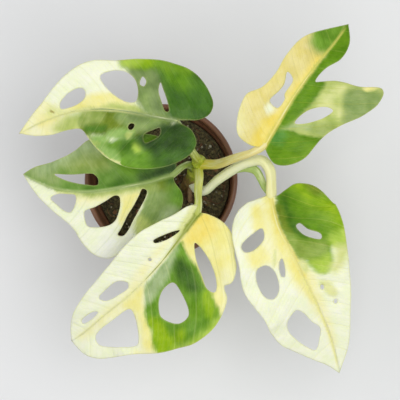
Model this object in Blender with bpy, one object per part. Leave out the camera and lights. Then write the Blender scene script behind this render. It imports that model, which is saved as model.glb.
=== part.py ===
"""A young variegated monstera adansonii in a 60 mm nursery pot.

The origin is the middle of the pot's underside, with +Z up. Tables of places are in millimetres and are
turned into metres by MM. Each leaf is one solid: a thin blade with its holes, the midrib under it, and
the petiole that carries it from the stem. A blade is laid out flat first, as (along the midrib, across
it), and is then bent over its own midrib curve.
"""

import math

import bmesh
import bpy
import numpy as np
from mathutils import Vector
from mathutils.geometry import delaunay_2d_cdt

MM = 0.001
GAP = 0.3  # clearance between touching solids, mm

# Pot, mm
POT_HEIGHT = 54.0
RIM_RADIUS = 30.0
WALL = 1.0
BASE_RADIUS = 21.0
BASE_THICKNESS = 1.2
SHOULDER_HEIGHT = 44.0  # where the tapered wall steps out into the upright band
SHOULDER_RADIUS = 27.4
BAND_RADIUS = 28.9
LIP_HEIGHT = 2.4
DRAIN_COUNT = 6
DRAIN_RADIUS = 2.2
DRAIN_CIRCLE = 13.5
DRAIN_TURN = 0.05  # keeps the drain holes' edges off the base's own edges, radians
ROUND_SIDES = 48

# Soil, mm
SOIL_TOP = 46.0
SOIL_RINGS = 9
SOIL_RELIEF = 0.7

# Stem and aerial root, mm: the points of each centre line
STEM_PATH = [(8.3, -2.6, 22), (9.0, -2.0, 36), (9.6, -1.5, 46), (12.0, 0.2, 54), (15.2, 4.8, 63),
             (16.6, 6.1, 68), (17.2, 6.0, 71.2)]
STEM_RADIUS = 2.5
STEM_NODES = [53, 59, 63, 66.5]  # heights of the thickened rings that the leaves grow from
NODE_SWELL = 0.45
NODE_LENGTH = 1.1
BUD_LENGTH = 4.5
STEM_SIDES = 14
ROOT_PATH = [(11.8, 0.1, 53.5), (11.4, -3.7, 51.8), (11.0, -6.9, 48), (10.9, -8.0, 43), (11.0, -8.2, 34)]
ROOT_RADIUS = 1.05
ROOT_TIP_RADIUS = 0.6
ROOT_SIDES = 8

# Blade, mm
BLADE_THICKNESS = 0.8
EDGE_STEP = 2.4  # spacing of points along a margin
GRID_STEP = 4.6  # spacing of points inside a blade
FOLD_WIDTH = 2.5  # how fast a half reaches its full rise beside the midrib
PETIOLE_SIDES = 8
MIDRIB_TIP_RADIUS = 0.45
FLAP_RADIUS = 0.95
FLAP_TIP_RADIUS = 0.5
FLAP_WIDENING = 2.2
MIDRIB_END = 0.93  # share of the blade's length where the raised midrib runs out

# The leaves, mm and degrees. midrib runs from the blade's base to its tip; petiole from inside the stem
# to the base. left and right are margins as (along, distance from the midrib), seen from above and
# looking towards the tip. holes are closed outlines as (along, across), with across positive on the left.
# rise is each half's angle to the midrib, curl the further turn per 10 mm towards the margin, and waves
# are (height at the margin, length, phase). radii are the petiole's at the stem and at the blade, and
# sheath is how much wider than thick its sheathed lower half is. flap is the middle line of the sheath's
# loose edge, which leaves the petiole and meets it again below the blade.
LEAVES = {
    "leaf_front_left": dict(
        midrib=[(18, -15, 84), (13, -22, 83.5), (3, -34.5, 80), (-8, -45, 74.5), (-19.5, -53.5, 67.5),
                (-27.5, -59.5, 61), (-33.5, -63, 56)],
        petiole=[(15.0, 4.3, 62), (16.6, 0.5, 69.5), (17.2, -6.5, 78.5), (17.8, -11.8, 83)],
        left=[(-1.5, 3), (-2.5, 10), (0, 16.5), (5, 20.5), (8, 24), (13, 25.8), (16, 24.3), (19, 28),
              (26, 31.2), (34.5, 30.7), (44, 26), (55, 19.2), (68.5, 12.7), (75, 6.5)],
        right=[(-2, 2), (0.5, 4.7), (6, 7.2), (12, 10.5), (18.5, 13.4), (26, 14.5), (33.5, 14.3),
               (49, 12.3), (67, 8.3), (73.5, 4.7)],
        holes=[
            [(9.8, 5.7), (11.2, 13), (15.8, 20.3), (19.5, 22.8), (20.2, 20), (17.8, 15.2), (14.3, 9.7)],
            [(26.2, 8.5), (26.6, 13), (30.5, 21.3), (34.5, 21), (38, 14.6), (35.8, 10.6), (31, 7.7)],
            [(45.6, 4.5), (46, 8.2), (51.3, 16.7), (57.5, 14.4), (67, 7), (65.8, 4), (55, 3.6)],
            [(39.2, -3.9), (40.5, -2.4), (46, -2.6), (52.2, -4), (53.2, -6.3), (48.5, -7.3), (41.5, -6.8)],
            [(58, -2.4), (63.5, -2), (67.4, -3), (66.5, -4.1), (59.3, -3.7)],
            [(9.5, -1.7), (15, -3.4), (19.2, -6.6), (18.6, -7.5), (12, -4)],
            [(25.1, -3.9), (25.8, -3.2), (26.5, -3.9), (25.8, -4.6)],
        ],
        rise=(6, 28), curl=(-5, -8), waves=[(0.7, 27, 0.4), (0.35, 12, 1.9)],
        radii=(1.65, 1.5), sheath=1.1, colour=(0.80, 0.84, 0.58),
    ),
    "leaf_back_left": dict(
        midrib=[(11, 18, 98), (3.5, 19, 99.5), (-7, 21, 100), (-17.5, 22, 99), (-28, 21.5, 96.5),
                (-39, 18.5, 93), (-50, 14, 88.5)],
        petiole=[(16.4, 6.2, 67.5), (14.8, 8.1, 76), (12.9, 12.2, 88), (11.7, 15.8, 95)],
        left=[(-1, 0.8), (-5.5, 2.6), (-8.2, 7.3), (-6.5, 11.9), (-2, 15.7), (4, 18.5), (14, 20.6),
              (22.3, 19), (29, 15.6), (33.5, 11.2), (37, 7.4), (43.5, 6.5), (51, 6.1), (58, 3.9)],
        right=[(-3.5, 0.6), (-8, 1.5), (-11.5, 4.2), (-12.2, 8), (-10, 12.3), (-6, 16.7), (-1, 19.6),
               (5, 20.8), (12, 20.8), (25, 18.4), (31, 18.2), (36, 16.6), (43.5, 11.5), (51, 6.6),
               (59, 2.7)],
        holes=[
            [(34.6, -6.4), (35.2, -4.3), (37.6, -2.5), (41, -1.7), (44.6, -2.1), (44.5, -3.8), (41.6, -6.3),
             (38.2, -7.9), (35.6, -8)],
            [(29.2, -12.3), (25.3, -14.4), (21.5, -14.5), (18, -12.3), (16.1, -7.2), (16.6, -4),
             (20, -3.5), (26.2, -7)],
            [(15.6, -13.6), (14.2, -12.2), (14.6, -10.2), (16, -10.6)],
            [(8.8, -12.8), (7, -10.3), (4.6, -6), (3.7, -2.8), (4.8, -2.6), (6.9, -5.9), (9, -10)],
            [(10.9, 7.5), (8, 4.9), (6, 3.8), (5.7, 6.3), (8, 9), (10, 10.2)],
            [(17.4, 6.2), (16.2, 6.8), (15.2, 5.7), (15.2, 4.4), (16.6, 4.2), (17.4, 5.1)],
        ],
        rise=(14, 18), curl=(-12, -9), waves=[(0.8, 24, 2.2), (0.3, 11, 0.2)],
        radii=(1.5, 1.4), sheath=1.1, colour=(0.52, 0.66, 0.34),
    ),
    "leaf_left": dict(
        midrib=[(7, 0.5, 70.5), (-2.5, -2.5, 71), (-12.5, -4.5, 71), (-22.5, -6, 70), (-31.5, -6, 68.5),
                (-42, -4, 66.5), (-52.5, 1, 64)],
        petiole=[(13.9, 2.9, 59.5), (12.4, 4.8, 66), (10.2, 3.6, 69.6)],
        left=[(0.5, 2.5), (-1, 8), (0.8, 12.8), (5.5, 15), (11, 16.2), (18.5, 20.6), (25.5, 25),
              (29.5, 26.5), (33.5, 24.5), (36.8, 19.5), (39.5, 14), (46.5, 8.8), (53, 4.9), (60, 1.3)],
        right=[(-1.6, 2.1), (-2.5, 8), (1, 15.5), (9.5, 19.5), (21, 20.9), (31.5, 20.1), (37, 17.7),
               (44, 13.6), (53, 9.2), (59, 4.7)],
        holes=[
            [(49.2, -5.2), (41, -6.4), (34, -7), (31, -6.6), (29.5, -4.6), (29.9, -2.5), (34.8, -2.8),
             (39.3, -3.3), (44.2, -4)],
            [(48.3, 4), (46, 1.9), (42, 1.3), (39, 1.5), (38.7, 4), (40.6, 8.2), (43, 7.7), (45.5, 6)],
            [(35.3, 7.4), (31.5, 5.9), (27.5, 4.1), (23.8, 2.6), (22.2, 3.2), (22.3, 6.2), (23.6, 9.4),
             (25.2, 12), (27.6, 13.5), (32, 13.8), (34.6, 13.2), (35.5, 10.2)],
            [(12.8, 1.9), (11.4, 3), (12.4, 5.3), (14.7, 8.4), (18.2, 12.8), (21.4, 16.8), (23.6, 18.5),
             (25.3, 17.8), (23.6, 15.4), (20.6, 11.3), (17.6, 8), (14.9, 4.6)],
        ],
        rise=(-6, 16), curl=(-6, -4), waves=[(0.6, 25, 1.1), (0.3, 12, 0.9)],
        radii=(1.5, 1.4), sheath=1.1, colour=(0.60, 0.72, 0.44),
    ),
    "leaf_right": dict(
        midrib=[(43, 9, 92), (48, 17.5, 94), (53, 26, 95), (58, 33.5, 95), (63, 40.5, 93.5),
                (68.5, 48, 90.5), (73.5, 56, 86)],
        petiole=[(15.8, 5.2, 65), (19.5, 4.7, 69), (24, 4.3, 74), (31.5, 5.7, 83), (39, 7.4, 90)],
        left=[(-1, 1.5), (-2, 5), (-0.7, 11), (3, 13.8), (11, 16.2), (14.2, 16), (18.8, 12.2),
              (25.4, 10.9), (31.4, 11.7), (40.2, 10.9), (50, 5.5)],
        right=[(-1, 1.2), (-3.6, 6), (-2, 10.5), (3.5, 15), (12.2, 16.6), (20, 19.5), (30, 24.3),
               (39, 27), (44.4, 26.2), (45.2, 24.2), (40, 16.9), (35.9, 9.2), (32, 4.9), (30.8, 3.4),
               (33, 3), (37.5, 3.5), (44, 5.6), (51, 4.6)],
        holes=[
            [(27.4, 7.5), (26.5, 3.9), (20.5, 3.4), (19, 2.4), (15, 3), (15.9, 7.1), (20.4, 5.9),
             (23.4, 5.7)],
            [(13.3, -5.4), (20, -7.2), (25.3, -12.3), (25.6, -14.9), (20.7, -13.4), (15, -8.7)],
        ],
        rise=(38, -4), curl=(-12, -5), waves=[(0.6, 22, 0.2), (0.3, 10, 2.9)],
        radii=(1.7, 1.55), sheath=1.15, colour=(0.70, 0.76, 0.36),
    ),
    "leaf_front": dict(
        midrib=[(44.8, -8, 84), (47.7, -19.5, 86), (52.8, -29.5, 85.5), (58, -40, 82), (63, -50, 76),
                (67.5, -61.5, 68), (70.5, -74, 59)],
        petiole=[(11.7, -0.1, 53), (14.8, -3.9, 56.5), (18.2, -4.6, 61), (23, -1.6, 68), (30.5, 2.3, 76),
                 (37, 4.5, 82), (42, 4.4, 85), (44.7, 0.8, 85)],
        left=[(1.2, 2.1), (0, 5.8), (-1.4, 10.1), (0, 14.9), (2.7, 18.8), (8.5, 22.1), (18.6, 23.1),
              (29.3, 20.2), (43, 15.5), (52, 11.4), (67, 5.8), (74, 2.4)],
        right=[(0.3, 2.1), (0.9, 5.8), (1.8, 9.6), (4.6, 13.5), (9.5, 16.6), (17.5, 19.1), (29.5, 22.3),
               (36, 21.4), (42, 20.2), (49.5, 20.2), (57, 18.4), (63, 14.4), (69, 9), (74, 3.7)],
        holes=[
            [(11.7, -5.7), (14.6, -6.4), (16.6, -12), (15.8, -15.3), (14.3, -15.5), (12.2, -9.5)],
            [(24.1, -4), (28, -4.6), (30.8, -6.2), (30, -7.1), (25.5, -5.8)],
            [(23.8, -14.1), (23.8, -10.6), (27, -8.7), (34, -10), (36.3, -13.3), (34.5, -15.9),
             (28, -16.3)],
            [(44.6, -7.8), (47, -6), (52, -4.5), (56.4, -2.4), (60.9, -4.2), (65.4, -6.8), (62.6, -9.4),
             (57, -12.4), (52, -13.8), (47.2, -12.5)],
            [(15.6, 6.4), (15.3, 7.9), (19, 9.7), (22.6, 13.1), (23.8, 12.4), (20.2, 7.4)],
            [(39.8, 4.8), (40.6, 5.5), (42, 4.6), (41.2, 4)],
            [(47.1, 7.3), (47.8, 7.8), (49, 6.7), (48.2, 6.2)],
        ],
        rise=(16, 12), curl=(-12, -7), waves=[(0.7, 26, 1.6), (0.35, 12, 0.5)],
        radii=(1.6, 2.05), sheath=1.15, colour=(0.84, 0.88, 0.62),
        flap=[(31, 2.6, 76.6), (35.2, 2.6, 79.6), (38.9, 1.3, 80.6), (41.0, -1.8, 80.4), (42.4, -4.8, 81.2),
              (44.2, -7.4, 82.8)],
    ),
}

POT_COLOUR = (0.36, 0.13, 0.08)
SOIL_COLOUR = (0.035, 0.024, 0.018)
STEM_COLOUR = (0.42, 0.46, 0.10)
ROOT_COLOUR = (0.20, 0.10, 0.06)


def clear_scene():
    for obj in list(bpy.data.objects):
        bpy.data.objects.remove(obj)


def smooth_curve(points, per_span=12):
    """A centripetal Catmull-Rom curve through the points, as an array."""
    points = np.asarray(points, float)
    padded = np.vstack([2 * points[0] - points[1], points, 2 * points[-1] - points[-2]])
    out = []
    for a, b, c, d in zip(padded, padded[1:], padded[2:], padded[3:]):
        t1 = math.sqrt(np.linalg.norm(b - a))
        t2 = t1 + math.sqrt(np.linalg.norm(c - b))
        t3 = t2 + math.sqrt(np.linalg.norm(d - c))
        for t in np.linspace(t1, t2, per_span, endpoint=False):
            ab = ((t1 - t) * a + t * b) / t1
            bc = ((t2 - t) * b + (t - t1) * c) / (t2 - t1)
            cd = ((t3 - t) * c + (t - t2) * d) / (t3 - t2)
            abc = ((t2 - t) * ab + t * bc) / t2
            bcd = ((t3 - t) * bc + (t - t1) * cd) / (t3 - t1)
            out.append(((t2 - t) * abc + (t - t1) * bcd) / (t2 - t1))
    out.append(points[-1])
    return np.array(out)


def arc_lengths(points):
    return np.concatenate([[0], np.cumsum(np.linalg.norm(np.diff(points, axis=0), axis=1))])


def spaced(points, step):
    """The same line with evenly spaced points about step apart."""
    along = arc_lengths(points)
    count = max(2, round(along[-1] / step) + 1)
    at = np.linspace(0, along[-1], count)
    return np.stack([np.interp(at, along, column) for column in points.T], axis=-1)


def closed_ring(points, step):
    """A smooth closed outline through the points, evenly spaced, without a repeated end."""
    ring = list(points)
    curve = smooth_curve(ring[-2:] + ring + ring[:2])
    per_span = 12
    curve = curve[2 * per_span:(2 + len(ring)) * per_span + 1]
    return spaced(curve, step)[:-1]


def inside(points, ring):
    """Which points lie inside the closed outline, by counting crossings."""
    x, y = points[:, 0][:, None], points[:, 1][:, None]
    x0, y0 = ring[:, 0], ring[:, 1]
    x1, y1 = np.roll(x0, -1), np.roll(y0, -1)
    span = np.where(y1 == y0, 1e-12, y1 - y0)
    crosses = ((y0 > y) != (y1 > y)) & (x < x0 + (x1 - x0) * (y - y0) / span)
    return crosses.sum(axis=1) % 2 == 1


class BentBlade:
    """Takes a flat blade's (along, across) to its place in space, in millimetres."""

    def __init__(self, leaf):
        self.leaf = leaf
        self.line = smooth_curve(leaf["midrib"], 40)
        self.along = arc_lengths(self.line)
        self.length = self.along[-1]
        slope = np.gradient(self.line, self.along, axis=0)
        self.slope = slope / np.linalg.norm(slope, axis=1)[:, None]

    def frame(self, s):
        """Point on the midrib, its direction, the level direction to the left, and up from the blade."""
        held = np.clip(s, 0, self.length)
        point = np.stack([np.interp(held, self.along, column) for column in self.line.T], axis=-1)
        ahead = np.stack([np.interp(held, self.along, column) for column in self.slope.T], axis=-1)
        ahead /= np.linalg.norm(ahead, axis=-1)[..., None]
        left = np.cross((0, 0, 1), ahead)
        left /= np.linalg.norm(left, axis=-1)[..., None]
        return point + (s - held)[..., None] * ahead, ahead, left, np.cross(ahead, left)

    def place(self, s, t):
        s, t = np.asarray(s, float), np.asarray(t, float)
        point, _, left, up = self.frame(s)
        is_left = t > 0
        rise = np.where(is_left, *self.leaf["rise"])
        curl = np.where(is_left, *self.leaf["curl"])
        reach = np.abs(t)
        sideways, lift = np.zeros(reach.shape), np.zeros(reach.shape)
        nodes, weights = np.polynomial.legendre.leggauss(6)
        for node, weight in zip((nodes + 1) / 2, weights / 2):
            at = reach * node
            angle = np.radians(rise * (1 - np.exp(-at / FOLD_WIDTH)) + curl * at / 10)
            sideways += weight * reach * np.cos(angle)
            lift += weight * reach * np.sin(angle)
        for height, length, phase in self.leaf["waves"]:
            side_phase = np.where(is_left, 0, 2.1)
            swing = np.sin(2 * math.pi * s / length + phase + side_phase)
            lift += height * np.minimum(reach / 22, 1.3) ** 2 * swing
        return point + (np.sign(t) * sideways)[..., None] * left + lift[..., None] * up

    def normal(self, s, t):
        step = 0.05
        ahead = self.place(s + step, t) - self.place(s - step, t)
        left = self.place(s, t + step) - self.place(s, t - step)
        normal = np.cross(ahead, left)
        return normal / np.linalg.norm(normal, axis=-1)[..., None]


def flat_blade(leaf, length):
    """Points and triangles of the flat blade, its holes left out."""
    base, tip = (0, 0), (length, 0)
    left = spaced(smooth_curve([base] + leaf["left"] + [tip]), EDGE_STEP)
    right = spaced(smooth_curve([base] + [(s, -t) for s, t in leaf["right"]] + [tip]), EDGE_STEP)
    outline = np.vstack([right[:-1], left[:0:-1]])
    rings = [outline] + [closed_ring(hole, EDGE_STEP) for hole in leaf["holes"]]

    low, high = outline.min(axis=0), outline.max(axis=0)
    rows = np.arange(low[1], high[1], GRID_STEP * math.sqrt(3) / 2)
    grid = [(s + (row % 2) * GRID_STEP / 2, t) for row, t in enumerate(rows)
            for s in np.arange(low[0], high[0], GRID_STEP)]
    grid = np.array(grid + [(s, 0) for s in np.arange(EDGE_STEP, length - 1, GRID_STEP / 2)])
    edge_points = np.vstack(rings)
    near = np.linalg.norm(grid[:, None] - edge_points[None], axis=2).min(axis=1)
    on_midrib = grid[:, 1] == 0
    clear = near > np.where(on_midrib, 0.6, GRID_STEP * 0.55)
    clear &= on_midrib | (np.abs(grid[:, 1]) > GRID_STEP * 0.4)
    clear &= inside(grid, outline)
    for ring in rings[1:]:
        clear &= ~inside(grid, ring)
    grid = grid[clear]

    points = np.vstack(rings + [grid])
    edges, start = [], 0
    for ring in rings:
        count = len(ring)
        edges += [(start + i, start + (i + 1) % count) for i in range(count)]
        start += count
    flat = [Vector((s, t)) for s, t in points]
    verts, _, faces, *_ = delaunay_2d_cdt(flat, edges, [], 0, 1e-6)
    verts = np.array([tuple(v) for v in verts])
    faces = np.array([face for face in faces])
    middles = verts[faces].mean(axis=1)
    keep = inside(middles, outline)
    for ring in rings[1:]:
        keep &= ~inside(middles, ring)
    return verts, faces[keep]


def mesh_object(name, verts, faces, colour=(0.5, 0.5, 0.5), roughness=0.5):
    """A closed mesh object from points in millimetres, faces turned outward."""
    mesh = bpy.data.meshes.new(name)
    mesh.from_pydata([tuple(v * MM for v in vert) for vert in verts], [], [tuple(f) for f in faces])
    work = bmesh.new()
    work.from_mesh(mesh)
    bmesh.ops.recalc_face_normals(work, faces=work.faces)
    work.to_mesh(mesh)
    work.free()
    obj = bpy.data.objects.new(name, mesh)
    bpy.context.scene.collection.objects.link(obj)
    set_material(obj, colour, roughness)
    return obj


def set_material(obj, colour, roughness):
    material = bpy.data.materials.new(obj.name)
    material.use_nodes = True
    shader = material.node_tree.nodes["Principled BSDF"]
    shader.inputs["Base Color"].default_value = (*colour, 1)
    shader.inputs["Roughness"].default_value = roughness
    obj.data.materials.clear()
    obj.data.materials.append(material)


def tube(path, radii, sides, flatten=None):
    """Points and faces of a tube along the path; flatten is how much wider than thick each ring is."""
    path = np.asarray(path, float)
    flatten = np.ones(len(path)) if flatten is None else flatten
    ahead = np.gradient(path, axis=0)
    ahead /= np.linalg.norm(ahead, axis=1)[:, None]
    side = np.cross((0, 0, 1), ahead[0])
    if np.linalg.norm(side) < 0.1:
        side = np.array((1.0, 0, 0))
    verts = []
    for point, direction, radius, wide in zip(path, ahead, radii, flatten):
        side = side - direction * side.dot(direction)
        side /= np.linalg.norm(side)
        up = np.cross(direction, side)
        for i in range(sides):
            turn = 2 * math.pi * i / sides
            verts.append(point + radius * (wide * math.cos(turn) * side + math.sin(turn) * up))
    faces = []
    for ring in range(len(path) - 1):
        for i in range(sides):
            a, b = ring * sides + i, ring * sides + (i + 1) % sides
            faces.append((a, b, b + sides, a + sides))
    faces.append(tuple(range(sides))[::-1])
    faces.append(tuple((len(path) - 1) * sides + i for i in range(sides)))
    return np.array(verts), faces


def apply_boolean(obj, other, operation):
    """Applies the Boolean and removes the other object."""
    cut = obj.modifiers.new("cut", "BOOLEAN")
    cut.operation = operation
    cut.object = other
    graph = bpy.context.evaluated_depsgraph_get()
    made = bpy.data.meshes.new_from_object(obj.evaluated_get(graph))
    obj.modifiers.clear()
    obj.data = made
    bpy.data.objects.remove(other)


def revolve(profile, sides):
    """A closed solid turned round +Z from a profile that starts and ends on the axis."""
    verts = [(0, 0, profile[0][1])]
    for radius, height in profile[1:-1]:
        for i in range(sides):
            turn = 2 * math.pi * i / sides
            verts.append((radius * math.cos(turn), radius * math.sin(turn), height))
    verts.append((0, 0, profile[-1][1]))
    faces, rings, last = [], len(profile) - 2, len(verts) - 1
    for i in range(sides):
        j = (i + 1) % sides
        faces.append((0, 1 + j, 1 + i))
        for ring in range(rings - 1):
            a = 1 + ring * sides
            faces.append((a + i, a + j, a + sides + j, a + sides + i))
        a = 1 + (rings - 1) * sides
        faces.append((a + i, a + j, last))
    return verts, faces


def inner_wall_radius(height):
    """The pot's inner radius at a height on its tapered wall."""
    share = (height - BASE_THICKNESS) / (SHOULDER_HEIGHT - BASE_THICKNESS)
    low, high = BASE_RADIUS - WALL, SHOULDER_RADIUS - WALL
    return low + (high - low) * min(share, 1.0)


def make_pot():
    profile = [
        (0, 0),
        (BASE_RADIUS - 1.2, 0),
        (BASE_RADIUS, 1.0),
        (SHOULDER_RADIUS, SHOULDER_HEIGHT),
        (BAND_RADIUS - 0.3, SHOULDER_HEIGHT + 1.2),
        (BAND_RADIUS, POT_HEIGHT - LIP_HEIGHT),
        (RIM_RADIUS - 0.2, POT_HEIGHT - LIP_HEIGHT + 0.2),
        (RIM_RADIUS, POT_HEIGHT - LIP_HEIGHT + 0.8),
        (RIM_RADIUS, POT_HEIGHT - 0.7),
        (RIM_RADIUS - 0.5, POT_HEIGHT),
        (BAND_RADIUS - 0.4, POT_HEIGHT),
        (BAND_RADIUS - WALL, POT_HEIGHT - 0.8),
        (BAND_RADIUS - WALL - 0.3, SHOULDER_HEIGHT + 1.8),
        (SHOULDER_RADIUS - WALL, SHOULDER_HEIGHT + 0.5),
        (BASE_RADIUS - WALL, BASE_THICKNESS),
        (0, BASE_THICKNESS),
    ]
    pot = mesh_object("pot", *revolve(profile, ROUND_SIDES), POT_COLOUR, 0.5)
    for i in range(DRAIN_COUNT):
        turn = 2 * math.pi * (i + 0.5) / DRAIN_COUNT + DRAIN_TURN
        x, y = DRAIN_CIRCLE * math.cos(turn), DRAIN_CIRCLE * math.sin(turn)
        drill = tube([(x, y, -2), (x, y, BASE_THICKNESS + 2)], [DRAIN_RADIUS] * 2, 16)
        apply_boolean(pot, mesh_object("drill", *drill), "DIFFERENCE")
    return pot


def soil_height(x, y):
    """The mix is lumpy, and lies a little higher on one side of the stem."""
    lumps = math.sin(0.55 * x + 1.3 + math.sin(0.31 * y)) * math.cos(0.47 * y - 0.4 + math.sin(0.37 * x))
    fine = 0.6 * math.sin(0.9 * x + math.sin(0.7 * y)) * math.sin(0.83 * y + 2.0 - math.sin(0.5 * x))
    return SOIL_TOP + SOIL_RELIEF * (lumps + fine + 0.03 * x)


def make_soil(holes):
    """The potting mix, with a lumpy top and one plain hole for each buried tube."""
    bottom = BASE_THICKNESS + GAP
    low_radius = inner_wall_radius(bottom) - GAP
    shoulder_radius = inner_wall_radius(SHOULDER_HEIGHT) - GAP
    verts, faces = revolve([(0, bottom), (low_radius, bottom), (shoulder_radius, SHOULDER_HEIGHT)]
                           + [(shoulder_radius * (1 - ring / SOIL_RINGS), SOIL_TOP)
                              for ring in range(SOIL_RINGS)]
                           + [(0, SOIL_TOP)], ROUND_SIDES)
    lumpy = []
    for x, y, z in verts:
        edge = min(1.0, (shoulder_radius - math.hypot(x, y)) / 3)
        lumpy.append((x, y, z + (soil_height(x, y) - SOIL_TOP) * edge if z >= SOIL_TOP else z))
    soil = mesh_object("soil", lumpy, faces, SOIL_COLOUR, 0.95)
    for cutter in holes:
        apply_boolean(soil, cutter, "DIFFERENCE")
    return soil


def stem_tube(extra=0.0):
    """The vine: a leaning stem, swollen at its nodes, with a pointed bud at its top."""
    path = spaced(smooth_curve(STEM_PATH), 1.6)
    height = path[:, 2]
    radii = np.full(len(path), STEM_RADIUS)
    for node in STEM_NODES:
        radii += NODE_SWELL * np.exp(-((height - node) / NODE_LENGTH) ** 2)
    to_tip = np.clip((height[-1] - height) / BUD_LENGTH, 0, 1)
    radii *= 0.12 + 0.88 * np.sqrt(to_tip)
    to_end = np.clip((height - height[0]) / 4, 0, 1)
    radii *= 0.5 + 0.5 * np.sqrt(to_end)
    return tube(path, radii + extra, STEM_SIDES)


def root_tube(extra=0.0):
    path = spaced(smooth_curve(ROOT_PATH), 1.8)
    radii = np.linspace(ROOT_RADIUS, ROOT_TIP_RADIUS, len(path))
    return tube(path, radii + extra, ROOT_SIDES)


def flap_tube(leaf):
    """The sheath's loose edge, a narrow flat strip whose two ends lie inside the petiole."""
    path = spaced(smooth_curve(leaf["flap"]), 1.8)
    radii = np.linspace(FLAP_RADIUS, FLAP_TIP_RADIUS, len(path))
    return tube(path, radii, PETIOLE_SIDES, np.full(len(path), FLAP_WIDENING))


def petiole_and_midrib(leaf, blade):
    """One tube: up the petiole, over the base, and on under the blade as its raised midrib."""
    at_stem, at_blade = leaf["radii"]
    run = np.arange(1.5, blade.length * MIDRIB_END, 3.2)
    share = run / (blade.length * MIDRIB_END)
    rib_radii = at_blade * 0.8 + (MIDRIB_TIP_RADIUS - at_blade * 0.8) * share
    on_blade = blade.place(run, 0 * run)
    under = on_blade - blade.normal(run, 0 * run + 1e-6) * (rib_radii - 0.1)[:, None]
    stalk = spaced(smooth_curve(leaf["petiole"] + [tuple(p) for p in under[:3]]), 2.6)
    joined = np.linalg.norm(stalk - under[0], axis=1).argmin()
    path = np.vstack([stalk[:joined], under])
    stalk_share = np.linspace(0, 1, joined)
    stalk_radii = at_stem + (at_blade - at_stem) * np.minimum(stalk_share * 1.6, 1)
    radii = np.concatenate([stalk_radii, rib_radii])
    widening = np.ones(len(path))
    widening[:joined] += (leaf["sheath"] - 1) * np.clip(1.6 - 2 * stalk_share, 0, 1)
    return tube(path, radii, PETIOLE_SIDES, widening)


def make_leaf(name, leaf):
    blade = BentBlade(leaf)
    flat, triangles = flat_blade(leaf, blade.length)
    s, t = flat[:, 0], flat[:, 1]
    middle, normal = blade.place(s, t), blade.normal(s, t)
    top = middle + normal * BLADE_THICKNESS / 2
    bottom = middle - normal * BLADE_THICKNESS / 2
    count = len(flat)
    faces = [tuple(face) for face in triangles]
    faces += [tuple(count + i for i in face[::-1]) for face in triangles]
    edges = {}
    for a, b, c in triangles:
        for edge in ((a, b), (b, c), (c, a)):
            edges[edge] = edges.get(edge[::-1], 0) + 1
    for a, b in edges:
        if (b, a) not in edges:
            faces += [(a, a + count, b + count), (a, b + count, b)]
    colour = leaf["colour"]
    obj = mesh_object(name, np.vstack([top, bottom]), faces, colour, 0.45)
    apply_boolean(obj, mesh_object("stalk", *petiole_and_midrib(leaf, blade)), "UNION")
    if "flap" in leaf:
        apply_boolean(obj, mesh_object("flap", *flap_tube(leaf)), "UNION")
    set_material(obj, colour, 0.45)
    apply_boolean(obj, mesh_object("stem_seat", *stem_tube(GAP)), "DIFFERENCE")
    return obj


def main():
    clear_scene()
    make_pot()
    make_soil([mesh_object("stem_hole", *stem_tube(GAP)), mesh_object("root_hole", *root_tube(GAP))])
    mesh_object("stem", *stem_tube(), STEM_COLOUR, 0.5)
    root = mesh_object("aerial_root", *root_tube(), ROOT_COLOUR, 0.8)
    apply_boolean(root, mesh_object("stem_seat", *stem_tube(GAP)), "DIFFERENCE")
    for name, leaf in LEAVES.items():
        make_leaf(name, leaf)


main()
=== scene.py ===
"""The looks of a young variegated monstera adansonii in a 60 mm nursery pot.

Tables and outlines are in millimetres, as in the part's source, and MM turns them into metres. A blade is
laid out flat first, as (along the midrib, across it), or s and t for short, with across positive on the
left, and is then bent over its own midrib curve. Its colours are closed outlines on the same flat blade.
Colours are sRGB, 0-255.
"""

import math
import random

import bmesh
import bpy
import numpy as np
from mathutils import Euler, Matrix, Vector, noise
from mathutils.geometry import delaunay_2d_cdt


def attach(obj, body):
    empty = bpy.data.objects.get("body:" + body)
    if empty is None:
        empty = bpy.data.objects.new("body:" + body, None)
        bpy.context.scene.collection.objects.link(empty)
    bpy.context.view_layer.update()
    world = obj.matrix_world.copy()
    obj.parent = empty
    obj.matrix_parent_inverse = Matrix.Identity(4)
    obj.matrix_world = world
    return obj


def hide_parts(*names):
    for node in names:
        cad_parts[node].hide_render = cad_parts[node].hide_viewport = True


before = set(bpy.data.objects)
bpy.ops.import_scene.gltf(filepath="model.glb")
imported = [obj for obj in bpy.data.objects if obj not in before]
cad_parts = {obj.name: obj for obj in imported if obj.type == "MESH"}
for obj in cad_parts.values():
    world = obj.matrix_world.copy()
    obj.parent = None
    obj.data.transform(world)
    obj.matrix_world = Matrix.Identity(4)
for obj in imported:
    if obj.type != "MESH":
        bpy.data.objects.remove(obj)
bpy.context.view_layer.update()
MM = 0.001

# Camera: the photograph's place and tilt, turned to the plant without shift and closer by ENLARGEMENT
CAMERA_PLACE = (98.9, -81.4, 904)
CAMERA_TILT = 9  # degrees from straight down
PHOTO_FOCAL = 1103  # px
PHOTO_MIDDLE = 200  # px, across and down
PHOTO_WIDTH = 400  # px
AIM_PIXEL = (92, 278)
ENLARGEMENT = 2.0
SENSOR = 36.0  # mm

# Light and floor, metres and watts
LIGHT_TARGET = (0.02, 0.0, 0.07)
KEY_PLACE = (0.42, -0.22, 1.25)
KEY_POWER = 9.8
FILL_PLACE = (-0.8, 0.2, 1.0)
FILL_POWER = 3.8
LAMP_SIZE = 1.0
WORLD_STRENGTH = 0.41
FLOOR_REACH = 4

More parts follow.
